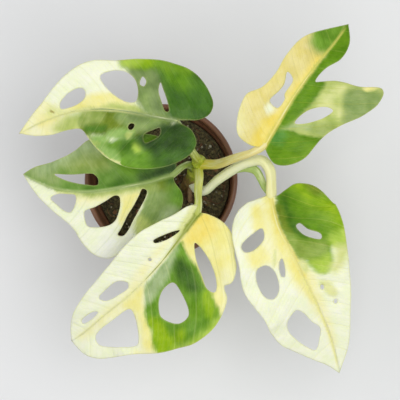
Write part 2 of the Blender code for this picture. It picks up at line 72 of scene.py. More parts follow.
# Pot and soil, as in the part
POT_HEIGHT = 54.0
RIM_RADIUS = 30.0
WALL = 1.0
BASE_RADIUS = 21.0
BASE_THICKNESS = 1.2
SHOULDER_HEIGHT = 44.0
SHOULDER_RADIUS = 27.4
BAND_RADIUS = 28.9
LIP_HEIGHT = 2.4
DRAIN_COUNT = 6
DRAIN_RADIUS = 2.2
DRAIN_CIRCLE = 13.5
DRAIN_TURN = 0.05  # radians, keeps the drain holes' edges off the base's own edges
DRAIN_SIDES = 32
DRILL_REACH = 2.0  # past the base's two faces
ROUND_SIDES = 144
POT_ROUNDING = 0.5
POT_SHARP_ANGLE = 50  # degrees
GAP = 0.3
SOIL_TOP = 46.0
SOIL_RINGS = 60
SOIL_RELIEF = 0.7
CRUMB_RELIEF = 0.45

# Stem and aerial root, as in the part
STEM_PATH = [(8.3, -2.6, 22), (9.0, -2.0, 36), (9.6, -1.5, 46), (12.0, 0.2, 54), (15.2, 4.8, 63),
             (16.6, 6.1, 68), (17.2, 6.0, 71.2)]
STEM_RADIUS = 2.5
STEM_NODES = [53, 59, 63, 66.5]
NODE_SWELL = 0.45
NODE_LENGTH = 1.1
SCAR_DEPTH = 0.22  # the ring of a leaf scar
SCAR_HEIGHT = 0.9  # above its node
SCAR_WIDTH = 0.25
BUD_LENGTH = 4.5
BARK_HEIGHT = 53  # the vine is barky below this
ROOT_PATH = [(11.8, 0.1, 53.5), (11.4, -3.7, 51.8), (11.0, -6.9, 48), (10.9, -8.0, 43), (11.0, -8.2, 34)]
ROOT_RADIUS = 1.05
ROOT_TIP_RADIUS = 0.6
CURVE_STEP = 0.4
STEM_SIDES = 36
ROOT_SIDES = 20

# Blades
BLADE_THICKNESS = 0.44
MARGIN_THICKNESS = 0.2
MARGIN_WIDTH = 0.8  # the blade thins over this width beside a margin
EDGE_STEP = 0.5
GRID_STEP = 0.62
PAINT_STEP = 0.8  # spacing of points along a paint's outline
FOLD_WIDTH = 2.5
WAVE_REACH = 22  # from the midrib, where a wave has its full height
WAVE_LIMIT = 1.3  # times WAVE_REACH, past which a wave grows no further
RIGHT_PHASE = 2.1  # radians between the waves of a blade's halves
VEIN_SLANT = 0.5  # how far forward a side vein runs for each mm outward, at the midrib
VEIN_BEND = 0.01
QUILT_HEIGHT = 0.34
GROOVE_DEPTH = 0.22
UNEVEN_HEIGHT = 0.3
NOISE_SHIFTS = (5, 16, 27, 38, 49)  # one for each leaf, so that no two have the same noise
HALF_SHIFT = 20  # does the same for a blade's two halves

# Petioles and midribs
STALK_STEP = 0.6
STALK_SIDES = 24
RIB_START = 1.5
RIB_GUIDE_STEP = 3.2
RIB_SHARE = 0.8  # the midrib's radius at its start, as a share of the petiole's
RIB_RISE = 0.1  # how far its upper side reaches past the blade's middle
MIDRIB_TIP_RADIUS = 0.45
MIDRIB_END = 0.93
FURROW_WIDTH = 0.42  # radians
FLAP_STEP = 0.5
FLAP_RADIUS = 0.95
FLAP_TIP_RADIUS = 0.5
FLAP_WIDENING = 2.2
FLAP_MARK = -1.0  # stands for a place along the stalk, on the flap

# The grain of the noises, per mm. On a blade the first three are across and along its side veins, and the
# next two along and across its midrib.
STREAK_GRAIN = (0.75, 0.13, 1.0)
FINE_GRAIN = (2.2, 0.7, 1.0)
NET_GRAIN = (0.75, 0.5, 1.0)
BLOTCH_GRAIN = (0.16, 0.16, 1.0)
CLUMP_GRAIN = (0.2, 0.2, 1.0)
STALK_GRAIN = (0.1, 1.4, 1.4)  # along the stalk, and across it twice
STEM_GRAIN = (0.25, 0.9, 0.9)
# How widely each noise shifts a paint's border, mm
STREAK_SWING = 1.7
BLOTCH_SWING = 2.4
FINE_SWING = 0.9
MARBLING = (0.32, 0.68)  # the noise values between which a paint's two colours mix

# Paints: a colour and the one that it is marbled with
WHITE = ((236, 243, 206), (244, 246, 222))
# painted light: a whiter white that offsets a cast shadow
PAINTED_LIGHT_WHITE = ((250, 252, 232), (252, 253, 240))
CREAM = ((240, 236, 176), (244, 242, 198))
YELLOW = ((238, 214, 98), (242, 225, 132))
BUTTER = ((237, 228, 142), (241, 235, 166))
HONEY = ((224, 209, 126), (234, 221, 154))
LIME = ((126, 166, 8), (152, 184, 26))
LEAF_GREEN = ((92, 138, 30), (120, 164, 52))
GREEN = ((82, 128, 10), (106, 150, 24))
GRASS = ((104, 146, 24), (126, 164, 42))
TEAL = ((72, 132, 42), (96, 150, 62))
TAN = ((150, 134, 70), (178, 164, 98))
DEEP = ((62, 104, 22), (84, 128, 34))
BOTTLE = ((48, 92, 6), (70, 116, 18))
# painted shade: dark green laid where a blade lies in shade
PAINTED_SHADE = ((52, 88, 24), (72, 112, 34))
# painted shade: the deepest shade, under folds and overlapping leaves
PAINTED_DEEP_SHADE = ((38, 64, 22), (54, 86, 28))
# a milky green, which in places is a painted sheen
MILKY_AND_PAINTED_SHEEN = ((150, 172, 120), (178, 196, 148))
OLIVE = ((96, 120, 22), (126, 146, 44))
PALE_GREEN = ((166, 184, 96), (196, 206, 126))
PALE_LIME = ((158, 190, 60), (182, 206, 88))
MINT = ((134, 172, 86), (162, 194, 112))
SAGE = ((126, 152, 82), (152, 172, 106))
STONE = ((102, 125, 68), (128, 150, 90))
FROND = ((124, 150, 54), (148, 172, 80))
DUSKY = ((100, 140, 52), (124, 160, 74))
MOSS = ((138, 160, 74), (164, 180, 102))
FLECK = ((204, 212, 134), (224, 226, 164))
POT_PAINT = ((115, 76, 55), (132, 90, 67))
SOIL_PAINT = ((53, 48, 31), (110, 100, 66))
FIBRE_PAINT = ((84, 56, 36), (140, 102, 68))
GRAIN_PAINT = ((124, 118, 98), (196, 190, 170))
ROOT_PAINT = ((124, 94, 68), (168, 138, 104))
STEM_PAINT = ((150, 164, 30), (178, 188, 62))

# Single colours
BARK_COLOUR = (120, 96, 52)
FLAP_COLOUR = (160, 182, 98)
# the petiole's lower side: its own greener colour, with painted shade
STALK_UNDERSIDE_AND_SHADE = (142, 168, 78)
STALK_DARK_STREAKS = (128, 156, 62)
STALK_PALE_STREAKS = (236, 238, 190)
BLADE_MARGIN = (226, 226, 164)
BLADE_UNDERSIDE = (186, 202, 150)
FLOOR_COLOUR = (230, 231, 232)

# What lies on the soil: how many, their radius from and to, their thickness as a share of their length from
# and to, how far their middles lie above the soil as a share of half their thickness, their paint, and how
# finely each is divided
LITTER_SEED = 11
LITTER = {
    "soil_crumbs": (800, (0.3, 1.1), (0.6, 0.9), 0.3, SOIL_PAINT, 1),
    "soil_bark": (60, (0.8, 1.7), (0.25, 0.4), 0.5, FIBRE_PAINT, 2),
    "soil_grains": (240, (0.28, 0.7), (0.6, 0.9), 0.6, GRAIN_PAINT, 2),
}
FIBRE_COUNT = 110
FIBRE_SIDES = 5
FIBRE_STEPS = 9
FIBRE_STEP = 0.9

# The leaves, mm and degrees, shaped as in the part. midrib runs from the blade's base to its tip, and
# petiole from inside the stem toward the base. left and right are the margins as (along, distance from the
# midrib), and holes are closed outlines. rise is how steeply each half leaves the midrib, left and right,
# and curl its further turn per 10 mm. waves are (height at WAVE_REACH, length, phase). radii are
# the petiole's at the stem and at the blade, sheath is how much wider than thick it starts, and flap is the
# middle line of its sheath's loose edge. veins are where each half's side veins leave the midrib, left and
# right. base and paint are the blade's colours, with painted shade, painted light and painted sheen among
# the paints: (paint, softness of its border, closed outline), each over those before it. rib is the
# midrib's colour at the base and toward the tip, and stalk is the petiole's at the stem, in the middle and
# at the blade.
LEAVES = {
    "leaf_front_left": dict(
        midrib=[(18, -15, 84), (13, -22, 83.5), (3, -34.5, 80), (-8, -45, 74.5), (-19.5, -53.5, 67.5),
            (-27.5, -59.5, 61), (-33.5, -63, 56)],
        petiole=[(15.0, 4.3, 62), (16.6, 0.5, 69.5), (17.2, -6.5, 78.5), (17.8, -11.8, 83)],
        left=[(-1.5, 3), (-2.5, 10), (0, 16.5), (5, 20.5), (8, 24), (13, 25.8), (16, 24.3), (19, 28),
            (26, 31.2), (34.5, 30.7), (44, 26), (55, 19.2), (68.5, 12.7), (75, 6.5)],
        right=[(-2, 2), (0.5, 4.7), (6, 7.2), (12, 10.5), (18.5, 13.4), (26, 14.5), (33.5, 14.3),
            (49, 12.3), (67, 8.3), (73.5, 4.7)],
        holes=[
            [(9.8, 5.7), (11.2, 13), (15.8, 20.3), (19.5, 22.8), (20.2, 20), (17.8, 15.2), (14.3, 9.7)],
            [(26.2, 8.5), (26.6, 13), (30.5, 21.3), (34.5, 21), (38, 14.6), (35.8, 10.6), (31, 7.7)],
            [(45.6, 4.5), (46, 8.2), (51.3, 16.7), (57.5, 14.4), (67, 7), (65.8, 4), (55, 3.6)],
            [(39.2, -3.9), (40.5, -2.4), (46, -2.6), (52.2, -4), (53.2, -6.3), (48.5, -7.3), (41.5, -6.8)],
            [(58, -2.4), (63.5, -2), (67.4, -3), (66.5, -4.1), (59.3, -3.7)],
            [(9.5, -1.7), (15, -3.4), (19.2, -6.6), (18.6, -7.5), (12, -4)],
            [(25.1, -3.9), (25.8, -3.2), (26.5, -3.9), (25.8, -4.6)],
        ],
        rise=(6, 28), curl=(-5, -8), waves=[(0.7, 27, 0.4), (0.35, 12, 1.9)], radii=(1.65, 1.5), sheath=1.1,
        veins=((-16, -8, -0.5, 11.5, 22, 33, 44, 55, 67, 80), (-10, -3, 5, 18, 27, 35, 53, 68, 80)),
        base=WHITE,
        paint=[
            (CREAM, 2.4, [(12, -3), (20, -4.5), (30, -4.5), (40, -3), (52, -1.5), (64, -1), (74, 0),
                (72, 2), (62, 3), (53, 4.5), (47, 8), (44, 12), (40, 6), (34, 0)]),
            (BUTTER, 2.2, [(36, 1.5), (42, 0.6), (48, 2.2), (46, 4.6), (44.8, 8), (47.5, 14), (50.6, 19),
                (51.6, 24), (49, 26), (45, 21), (42, 14), (40, 7)]),
            (CREAM, 2.5, [(44, 26), (50, 20.6), (55, 18), (58, 22), (56, 30), (44, 36)]),
            (BUTTER, 1.6, [(-1, 0), (-6, 4), (-8, 12), (-4, 20), (6, 29), (14, 31), (26, 36), (32, 31),
                (26, 25), (23, 19), (21, 13), (17.5, 6), (14, 0.6), (6, 0)]),
            (CREAM, 2.8, [(-3, 14.6), (2, 17.6), (8, 22), (14, 21), (18, 25), (24, 32), (10, 34),
                (-8, 24)]),
            (FLECK, 1.2, [(-3, -0.4), (-2, -3), (3, -3.4), (9, -2.8), (14, -1.6), (13, -0.2), (5, 0.2)]),
            (YELLOW, 2.4, [(0, 0.5), (-2.4, 3), (-1.4, 7.4), (2, 9.6), (7, 8.4), (10.5, 5.5), (12.4, 2.6),
                (8, 0.8)]),
            (LEAF_GREEN, 1.0, [(13.6, 0.8), (21, 1.1), (28.5, 1.4), (34, 2), (38, 5), (41.6, 8.7),
                (43.4, 12.6), (44.6, 17), (46.4, 21), (47.8, 32), (36, 36), (27, 35), (23.2, 29),
                (20.6, 22), (16.6, 12.4), (15, 7), (13.8, 3.6), (12.4, 1.6)]),
            # painted sheen: the glossy light on the green lobe beside the fold
            (MILKY_AND_PAINTED_SHEEN, 1.8, [(15, 1), (21, 1.1), (28.5, 1.4), (34, 2), (37.8, 4.8), (38.8, 7.2), (36, 7.5),
                (32, 6.8), (27, 6), (22.5, 4.2), (18, 2.6)]),
            # painted shade beside the first hole
            (PAINTED_SHADE, 2.2, [(17, 5), (18, 9), (19.4, 14), (21.4, 18), (24, 17), (24.8, 12), (24.8, 8.5),
                (22.5, 5.4), (19, 4)]),
            (LIME, 1.8, [(42.6, 12), (39.2, 14), (39.6, 20), (41, 25), (43, 31), (48.4, 30), (47.2, 22),
                (44.6, 17)]),
            (LIME, 1.6, [(20.6, 19.5), (21.6, 24), (24, 28.5), (26.4, 28), (25, 23), (22.6, 19.5)]),
            (LIME, 1.6, [(34.6, 23), (35.4, 26), (39, 27), (40.4, 24.4), (37.6, 22.6)]),
            (GREEN, 2.0, [(24.6, 19), (25.6, 23), (30, 24.6), (34, 23.4), (36, 21.6), (31, 22), (27, 19)]),
            (PALE_LIME, 2.2, [(25, 29.8), (30, 29.9), (37, 28.8), (44, 26.4), (45, 34), (30, 37),
                (24, 34)]),
            (OLIVE, 0.9, [(-4, -0.8), (3, -0.9), (8, -0.5), (9, 0.4), (5, 1.1), (-2, 1.4)]),
        ],
        rib=((150, 160, 62), (232, 232, 166)), stalk=((206, 210, 80), (222, 226, 118), (176, 186, 78)),
    ),
    "leaf_back_left": dict(
        midrib=[(11, 18, 98), (3.5, 19, 99.5), (-7, 21, 100), (-17.5, 22, 99), (-28, 21.5, 96.5),
            (-39, 18.5, 93), (-50, 14, 88.5)],
        petiole=[(16.4, 6.2, 67.5), (14.8, 8.1, 76), (12.9, 12.2, 88), (11.7, 15.8, 95)],
        left=[(-1, 0.8), (-5.5, 2.6), (-8.2, 7.3), (-6.5, 11.9), (-2, 15.7), (4, 18.5), (14, 20.6),
            (22.3, 19), (29, 15.6), (33.5, 11.2), (37, 7.4), (43.5, 6.5), (51, 6.1), (58, 3.9)],
        right=[(-3.5, 0.6), (-8, 1.5), (-11.5, 4.2), (-12.2, 8), (-10, 12.3), (-6, 16.7), (-1, 19.6),
            (5, 20.8), (12, 20.8), (25, 18.4), (31, 18.2), (36, 16.6), (43.5, 11.5), (51, 6.6), (59, 2.7)],
        holes=[
            [(34.6, -6.4), (35.2, -4.3), (37.6, -2.5), (41, -1.7), (44.6, -2.1), (44.5, -3.8), (41.6, -6.3),
             (38.2, -7.9), (35.6, -8)],
            [(29.2, -12.3), (25.3, -14.4), (21.5, -14.5), (18, -12.3), (16.1, -7.2), (16.6, -4), (20, -3.5),
             (26.2, -7)],
            [(15.6, -13.6), (14.2, -12.2), (14.6, -10.2), (16, -10.6)],
            [(8.8, -12.8), (7, -10.3), (4.6, -6), (3.7, -2.8), (4.8, -2.6), (6.9, -5.9), (9, -10)],
            [(10.9, 7.5), (8, 4.9), (6, 3.8), (5.7, 6.3), (8, 9), (10, 10.2)],
            [(17.4, 6.2), (16.2, 6.8), (15.2, 5.7), (15.2, 4.4), (16.6, 4.2), (17.4, 5.1)],
        ],
        rise=(14, 18), curl=(-12, -9), waves=[(0.8, 24, 2.2), (0.3, 11, 0.2)], radii=(1.5, 1.4), sheath=1.1,
        veins=((-20, -11, -4, 0.8, 9, 18, 26, 34, 43, 53, 66),
            (-24, -15, -7, -0.5, 5.2, 15, 25, 36, 46, 57, 70)),
        base=WHITE,
        paint=[
            (BUTTER, 1.8, [(46, 0), (38, -3.5), (30, -6), (24, -6), (20, -4), (15.5, -1.5), (23, 0),
                (34, 0.5)]),
            (CREAM, 2.0, [(70, 0), (60, -7), (50, -7), (45, -2), (42, 1), (49, 7), (60, 9)]),
            (BUTTER, 2.2, [(48, -0.4), (51, -1.6), (55, -0.8), (55, 1.4), (51, 2.2), (47, 1.4)]),
            (PALE_GREEN, 1.2, [(12, 0), (14, -2.4), (19, -2.6), (25, -2.2), (29, -0.8), (29, 0.2)]),
            (STONE, 1.4, [(20.5, -17), (14, -19), (9.5, -17.5), (5.5, -12), (3, -5), (2.5, 0.5), (7, 0),
                (13, -1.6), (16.2, -4.5), (18, -10.5)]),
            (SAGE, 2.0, [(13, -1.6), (10, -0.6), (10.6, -4), (11.8, -8.6), (14.4, -8.4), (15.6, -5)]),
            (BOTTLE, 1.6, [(24, -24), (17.5, -26), (11.5, -27), (-2, -25), (-12, -19), (-18, -9), (-16, 0),
                (-5, 1), (0.6, 0.6), (3.4, -0.8), (4.6, -4), (6.4, -9), (9, -14), (12, -16.6), (16, -17),
                (22, -16.5)]),
            (GREEN, 3.0, [(9, -17), (6, -13), (2, -11), (-2, -12.6), (-4, -16), (1, -19)]),
            # painted shade near the base
            (PAINTED_SHADE, 1.8, [(2, -1), (-3, -0.5), (-9, -1.5), (-10, -4.4), (-4, -5.4), (1, -4.4)]),
            (GRASS, 2.0, [(17, -17), (11, -17.2), (5, -17.2), (0, -17.6), (-5, -20), (8, -26), (17, -25)]),
            (LIME, 1.8, [(20, -16.8), (17, -17.2), (14, -17.6), (14, -24), (20, -25)]),
            (PALE_LIME, 1.8, [(22.6, -16.4), (19, -16.8), (17.6, -18.4), (18, -24), (23, -25)]),
            (PALE_GREEN, 2.6, [(50, 4.2), (45, 1.6), (38, 0.4), (32, 0.4), (33, 9), (39, 10), (46, 8.4)]),
            (MINT, 1.8, [(38, 8), (32, 9.4), (25, 9.6), (24, 14), (29, 18), (38, 13)]),
            (SAGE, 1.4, [(38, 7.6), (32, 8.8), (32, 11.6), (37, 11)]),
            (PALE_GREEN, 1.2, [(32, 12.8), (28.4, 12.8), (28, 16), (31, 17)]),
            (OLIVE, 1.3, [(35, 1), (31, 0.3), (26, 0.2), (20, 0.2), (12, 0.2), (2, 0.3), (3, 5), (11.5, 9),
                (21, 9.8), (27, 9.8), (33, 9.2), (37, 8.2), (37.5, 4)]),
            (MOSS, 1.6, [(38, 2), (33, 0.4), (28, 0.6), (27.5, 4), (33, 6), (38, 6)]),
            (SAGE, 1.8, [(22, 0.3), (12, 0.4), (3, 0.4), (2, 2.5), (7, 5.6), (13, 7.2), (20, 5), (23, 3)]),
            (STONE, 1.6, [(18, 0.8), (11, 0.8), (10.6, 3), (14, 3.6), (18, 3)]),
            (DEEP, 1.6, [(35, 6.6), (30, 6), (26, 6.4), (26, 8.4), (30, 9), (35, 8.4)]),
            (FLECK, 2.6, [(43.6, -0.2), (44.6, -3.2), (49.6, -3.8), (50.4, -1.6), (48, -0.2)]),
            (TAN, 0.5, [(45.6, -0.1), (46.4, -1.2), (48.8, -2.8), (49, -2.2), (47, -0.8)]),
            (LEAF_GREEN, 1.5, [(28.4, 15), (25, 12.6), (22, 11.2), (18, 9.5), (12, 8.5), (4.5, 3),
                (-1, 0.5), (-11, 2.5), (-13, 8.5), (-10, 15), (2, 24), (12, 25), (26, 24), (30, 18)]),
            (MINT, 1.4, [(14.6, 7.4), (16, 10), (19, 11), (25, 10.6), (25, 8.4), (20, 6.6), (17, 6.6)]),
            (BOTTLE, 3.4, [(14, 10.6), (14.6, 15), (19, 15.4), (20.4, 13), (18, 11)]),
            (PALE_LIME, 1.2, [(13.2, 11.4), (11.2, 11.8), (10.4, 13.6), (12, 14.6), (13.8, 13.2)]),
            (PALE_GREEN, 0.8, [(15.6, 7.6), (16.2, 9.6), (17.4, 10), (17.2, 8)]),
            (MINT, 1.8, [(31, 14), (24, 14.4), (19, 17), (20, 22), (30, 20)]),
            (FLECK, 0.5, [(34.4, 10), (30.6, 14), (24.6, 17.5), (18, 19.6), (18, 22), (26, 21), (36, 14)]),
            # painted shade where the lower half folds down near the base
            (PAINTED_SHADE, 2.8, [(10, 11), (8, 14.6), (6, 18.4), (-2, 21), (-8, 20), (-13, 14), (-12, 4), (-2, 1),
                (6, 6)]),
            (PAINTED_DEEP_SHADE, 2.2, [(13.6, 8.4), (9.4, 5), (4.4, 1.4), (-2, 0.6), (-5, 4.6), (-5, 9), (-1, 11.4),
                (4, 11.6), (8, 12.8), (12.5, 11)]),
        ],
        rib=((128, 148, 86), (220, 222, 150)), stalk=((170, 176, 60), (158, 176, 84), (160, 178, 106)),
    ),
    "leaf_left": dict(
        midrib=[(7, 0.5, 70.5), (-2.5, -2.5, 71), (-12.5, -4.5, 71), (-22.5, -6, 70), (-31.5, -6, 68.5),
            (-42, -4, 66.5), (-52.5, 1, 64)],
        petiole=[(13.9, 2.9, 59.5), (12.4, 4.8, 66), (10.2, 3.6, 69.6)],
        left=[(0.5, 2.5), (-1, 8), (0.8, 12.8), (5.5, 15), (11, 16.2), (18.5, 20.6), (25.5, 25),
            (29.5, 26.5), (33.5, 24.5), (36.8, 19.5), (39.5, 14), (46.5, 8.8), (53, 4.9), (60, 1.3)],
        right=[(-1.6, 2.1), (-2.5, 8), (1, 15.5), (9.5, 19.5), (21, 20.9), (31.5, 20.1), (37, 17.7),
            (44, 13.6), (53, 9.2), (59, 4.7)],
        holes=[
            [(49.2, -5.2), (41, -6.4), (34, -7), (31, -6.6), (29.5, -4.6), (29.9, -2.5), (34.8, -2.8),
             (39.3, -3.3), (44.2, -4)],
            [(48.3, 4), (46, 1.9), (42, 1.3), (39, 1.5), (38.7, 4), (40.6, 8.2), (43, 7.7), (45.5, 6)],
            [(35.3, 7.4), (31.5, 5.9), (27.5, 4.1), (23.8, 2.6), (22.2, 3.2), (22.3, 6.2), (23.6, 9.4),
             (25.2, 12), (27.6, 13.5), (32, 13.8), (34.6, 13.2), (35.5, 10.2)],
            [(12.8, 1.9), (11.4, 3), (12.4, 5.3), (14.7, 8.4), (18.2, 12.8), (21.4, 16.8), (23.6, 18.5),
             (25.3, 17.8), (23.6, 15.4), (20.6, 11.3), (17.6, 8), (14.9, 4.6)],
        ],
        rise=(-6, 16), curl=(-6, -4), waves=[(0.6, 25, 1.1), (0.3, 12, 0.9)], radii=(1.5, 1.4), sheath=1.1,
        veins=((-16, -6, 1, 6.5, 15.5, 25, 33, 44.5, 54, 66), (-16, -7, 1, 9, 18, 26, 37, 48, 57, 68)),
        base=WHITE,
        paint=[
            (CREAM, 2.2, [(46, 0.2), (34, 0.2), (22, 0.2), (11, 0.5), (13, 5), (18, 11), (21, 8), (23, 5),
                (31, 5), (38, 5), (44, 3)]),
            # painted light: whiter than the lobe, to offset the shadow of leaf_front_left
            (PAINTED_LIGHT_WHITE, 2.6, [(18, 16), (17, 23), (24, 29), (33, 28), (33, 21), (28, 15.5), (24.6, 20),
                (21, 18)]),
            (BUTTER, 1.4, [(21, 2.5), (17, 2.5), (14.5, 3.5), (18, 8), (20.5, 10.5), (23.6, 14.2),
                (24, 11.6), (21.4, 6.5)]),
            (PALE_GREEN, 1.6, [(48, 0), (38, -0.3), (28, -0.3), (18, -0.3), (10, 0), (13, 2.2), (24, 2.4),
                (34, 2.2), (42, 1.6)]),
            (SAGE, 1.1, [(10.5, -0.3), (2.5, -0.2), (-3, 1), (-5, 8), (-3, 15), (5.5, 19), (13.6, 22),
                (17.6, 19), (17.2, 13.5), (14, 8.5), (11.2, 3)]),
            (OLIVE, 2.0, [(7, 0), (2, 0.2), (-1, 3), (2, 5.4), (5, 5), (7.6, 3)]),
            # painted shade near the base
            (PAINTED_SHADE, 2.8, [(3, 0.4), (-1, 0.6), (-2, 3), (1, 4), (4, 2.6)]),
            (MOSS, 1.8, [(13, 0), (8, 0), (8, 3.4), (10.5, 4), (13, 2)]),
            (LEAF_GREEN, 3.0, [(3, 5), (-2, 4), (-4, 9), (-2, 13), (3, 12.5), (5, 9)]),
            # painted light: lighter greens that offset the shadow of leaf_front_left
            (MILKY_AND_PAINTED_SHEEN, 2.4, [(4.4, 11.6), (8, 11.6), (9.6, 16), (5.4, 18), (2.6, 15.4)]),
            (PALE_GREEN, 1.8, [(15.4, 11.4), (18.4, 14.4), (18.2, 20), (13, 22), (9.6, 18), (12, 15.5)]),
            (DUSKY, 0.6, [(66, -1), (58, 0), (47.5, 0.2), (38, 0.2), (29, 0.2), (20.5, 0.2), (10, 0),
                (0, 0), (-6, -4.5), (-5, -14), (9, -25), (26, -27), (39, -23), (58, -13)]),
            (GREEN, 2.4, [(15, -3.8), (6, -4.8), (-2, -6), (-4, -14), (4, -17), (14, -15), (19.6, -10),
                (19, -6)]),
            (DEEP, 2.6, [(12, -4), (4, -4), (-2, -5), (-2, -8), (5, -8.4), (11, -7.4)]),
            # painted shade under leaf_back_left: below its margin, and beside the midrib near the base
            (PAINTED_SHADE, 2.4, [(4, -19), (8, -17), (12, -19), (12, -24), (3, -24)]),
            (PAINTED_DEEP_SHADE, 2.4, [(14, -0.4), (7, -0.6), (-2, -0.2), (-3, -4.4), (3, -5), (9, -4.4), (13, -3.4)]),
            (DEEP, 2.6, [(36, -0.4), (26, -0.4), (15, -0.4), (16, -3), (26, -2.6), (36, -1.8)]),
            (MOSS, 3.2, [(50, -8.5), (44, -8), (37, -8), (29, -8), (24, -9), (25, -14), (31, -19),
                (38, -17), (45, -14)]),
            (SAGE, 2.4, [(66, -0.6), (55, -0.4), (49, -0.6), (46, -3), (50, -8), (58, -10)]),
            (MILKY_AND_PAINTED_SHEEN, 4.5, [(26, -16), (30, -14.6), (38, -13.6), (44, -10.4), (50, -8), (57, -4), (58, -10),
                (46, -18), (36, -24), (26, -25)]),
        ],
        rib=((150, 172, 96), (176, 194, 126)), stalk=((112, 124, 44), (122, 142, 62), (150, 172, 96)),
    ),
    "leaf_right": dict(
        midrib=[(43, 9, 92), (48, 17.5, 94), (53, 26, 95), (58, 33.5, 95), (63, 40.5, 93.5),
            (68.5, 48, 90.5), (73.5, 56, 86)],
        petiole=[(15.8, 5.2, 65), (19.5, 4.7, 69), (24, 4.3, 74), (31.5, 5.7, 83), (39, 7.4, 90)],
        left=[(-1, 1.5), (-2, 5), (-0.7, 11), (3, 13.8), (11, 16.2), (14.2, 16), (18.8, 12.2), (25.4, 10.9),
            (31.4, 11.7), (40.2, 10.9), (50, 5.5)],
        right=[(-1, 1.2), (-3.6, 6), (-2, 10.5), (3.5, 15), (12.2, 16.6), (20, 19.5), (30, 24.3), (39, 27),
            (44.4, 26.2), (45.2, 24.2), (40, 16.9), (35.9, 9.2), (32, 4.9), (30.8, 3.4), (33, 3),
            (37.5, 3.5), (44, 5.6), (51, 4.6)],
        holes=[
            [(27.4, 7.5), (26.5, 3.9), (20.5, 3.4), (19, 2.4), (15, 3), (15.9, 7.1), (20.4, 5.9),
             (23.4, 5.7)],
            [(13.3, -5.4), (20, -7.2), (25.3, -12.3), (25.6, -14.9), (20.7, -13.4), (15, -8.7)],
        ],
        rise=(38, -4), curl=(-12, -5), waves=[(0.6, 22, 0.2), (0.3, 10, 2.9)], radii=(1.7, 1.55),
        sheath=1.15,
        veins=((-12, -4, 3, 9.5, 18, 27, 36, 46, 58), (-14, -5, 2, 8, 19.5, 27, 35, 44, 54, 64)),
        base=HONEY,
        paint=[
            (CREAM, 4.5, [(-4, 11), (-3, 17), (6, 20), (11, 19), (9, 15.4), (3, 11.4)]),
            (WHITE, 1.6, [(11.6, 3.4), (11.8, 6.6), (14.6, 7.2), (14.4, 4)]),
            (YELLOW, 1.8, [(-3, 0.4), (-3, 4.6), (2, 6.2), (8, 6), (12, 4), (16, 2), (26, 1.8), (33, 2),
                (40, 1.4), (44, 0), (34, -0.4), (24, -0.4), (14, -0.4), (5, -0.2)]),
            (LEAF_GREEN, 2.6, [(42, 0), (40, 5), (43, 9), (50, 11), (62, 4), (60, 0)]),
            (PALE_GREEN, 0.5, [(-6, 0), (5, -0.3), (15, -0.4), (25, -0.4), (35, -0.4), (45, -0.2), (62, 0),
                (60, -12), (50, -32), (30, -32), (0, -22), (-8, -8)]),
            (MILKY_AND_PAINTED_SHEEN, 1.8, [(9, -2), (11.6, -6), (13.6, -11), (15.6, -17), (17, -17), (14.8, -10),
                (12.4, -5)]),
            (MOSS, 1.8, [(13.6, -12), (15.4, -17), (19.6, -20.6), (21, -18.6), (18.6, -14), (16.4, -11.4)]),
            (FLECK, 2.4, [(23, -9.6), (28, -9.6), (33, -11), (36, -13.4), (33, -14.4), (29, -17),
                (25, -18.6), (25.6, -15)]),
            (PALE_GREEN, 2.6, [(27.6, -13), (31, -12.4), (33, -14), (30, -16.4), (27, -16)]),
            (SAGE, 1.8, [(31, -15.6), (34.5, -14.6), (39, -16.5), (41.5, -21), (44, -25), (42, -29),
                (34, -28), (23.4, -24), (24, -20.6), (28, -18)]),
            (BUTTER, 0.9, [(41, -18.5), (44, -20.5), (45, -23), (42.5, -22), (40.5, -20)]),
            (GREEN, 0.8, [(-1, -0.3), (5.5, -0.6), (8.5, -2.6), (10.2, -6.5), (11.2, -11), (13.5, -16),
                (15.5, -20.5), (9, -22), (0, -18), (-6, -12), (-6, -4)]),
            (TEAL, 2.0, [(3, -0.6), (8, -0.8), (9.4, -3), (7, -5.4), (3.5, -4.8)]),
            (GRASS, 2.4, [(-4, -9.6), (2, -12.4), (8, -13.4), (10, -22), (0, -20), (-8, -12)]),
            (GREEN, 1.3, [(7, -0.3), (18, -0.4), (28, -0.4), (38, -0.2), (60, 0), (56, -6), (38, -6),
                (34, -5.6), (31.6, -7), (28, -7.2), (23, -7.2), (18, -6), (13.5, -4.6), (10, -2.8),
                (7, -1.2)]),
        ],
        rib=((230, 216, 104), (216, 214, 106)), stalk=((214, 204, 70), (222, 210, 122), (232, 218, 146)),
    ),
    "leaf_front": dict(
        midrib=[(44.8, -8, 84), (47.7, -19.5, 86), (52.8, -29.5, 85.5), (58, -40, 82), (63, -50, 76),
            (67.5, -61.5, 68), (70.5, -74, 59)],
        petiole=[(11.7, -0.1, 53), (14.8, -3.9, 56.5), (18.2, -4.6, 61), (23, -1.6, 68), (30.5, 2.3, 76),
            (37, 4.5, 82), (42, 4.4, 85), (44.7, 0.8, 85)],
        left=[(1.2, 2.1), (0, 5.8), (-1.4, 10.1), (0, 14.9), (2.7, 18.8), (8.5, 22.1), (18.6, 23.1),
            (29.3, 20.2), (43, 15.5), (52, 11.4), (67, 5.8), (74, 2.4)],
        right=[(0.3, 2.1), (0.9, 5.8), (1.8, 9.6), (4.6, 13.5), (9.5, 16.6), (17.5, 19.1), (29.5, 22.3),
            (36, 21.4), (42, 20.2), (49.5, 20.2), (57, 18.4), (63, 14.4), (69, 9), (74, 3.7)],
        holes=[
            [(11.7, -5.7), (14.6, -6.4), (16.6, -12), (15.8, -15.3), (14.3, -15.5), (12.2, -9.5)],
            [(24.1, -4), (28, -4.6), (30.8, -6.2), (30, -7.1), (25.5, -5.8)],
            [(23.8, -14.1), (23.8, -10.6), (27, -8.7), (34, -10), (36.3, -13.3), (34.5, -15.9),
             (28, -16.3)],
            [(44.6, -7.8), (47, -6), (52, -4.5), (56.4, -2.4), (60.9, -4.2), (65.4, -6.8), (62.6, -9.4),
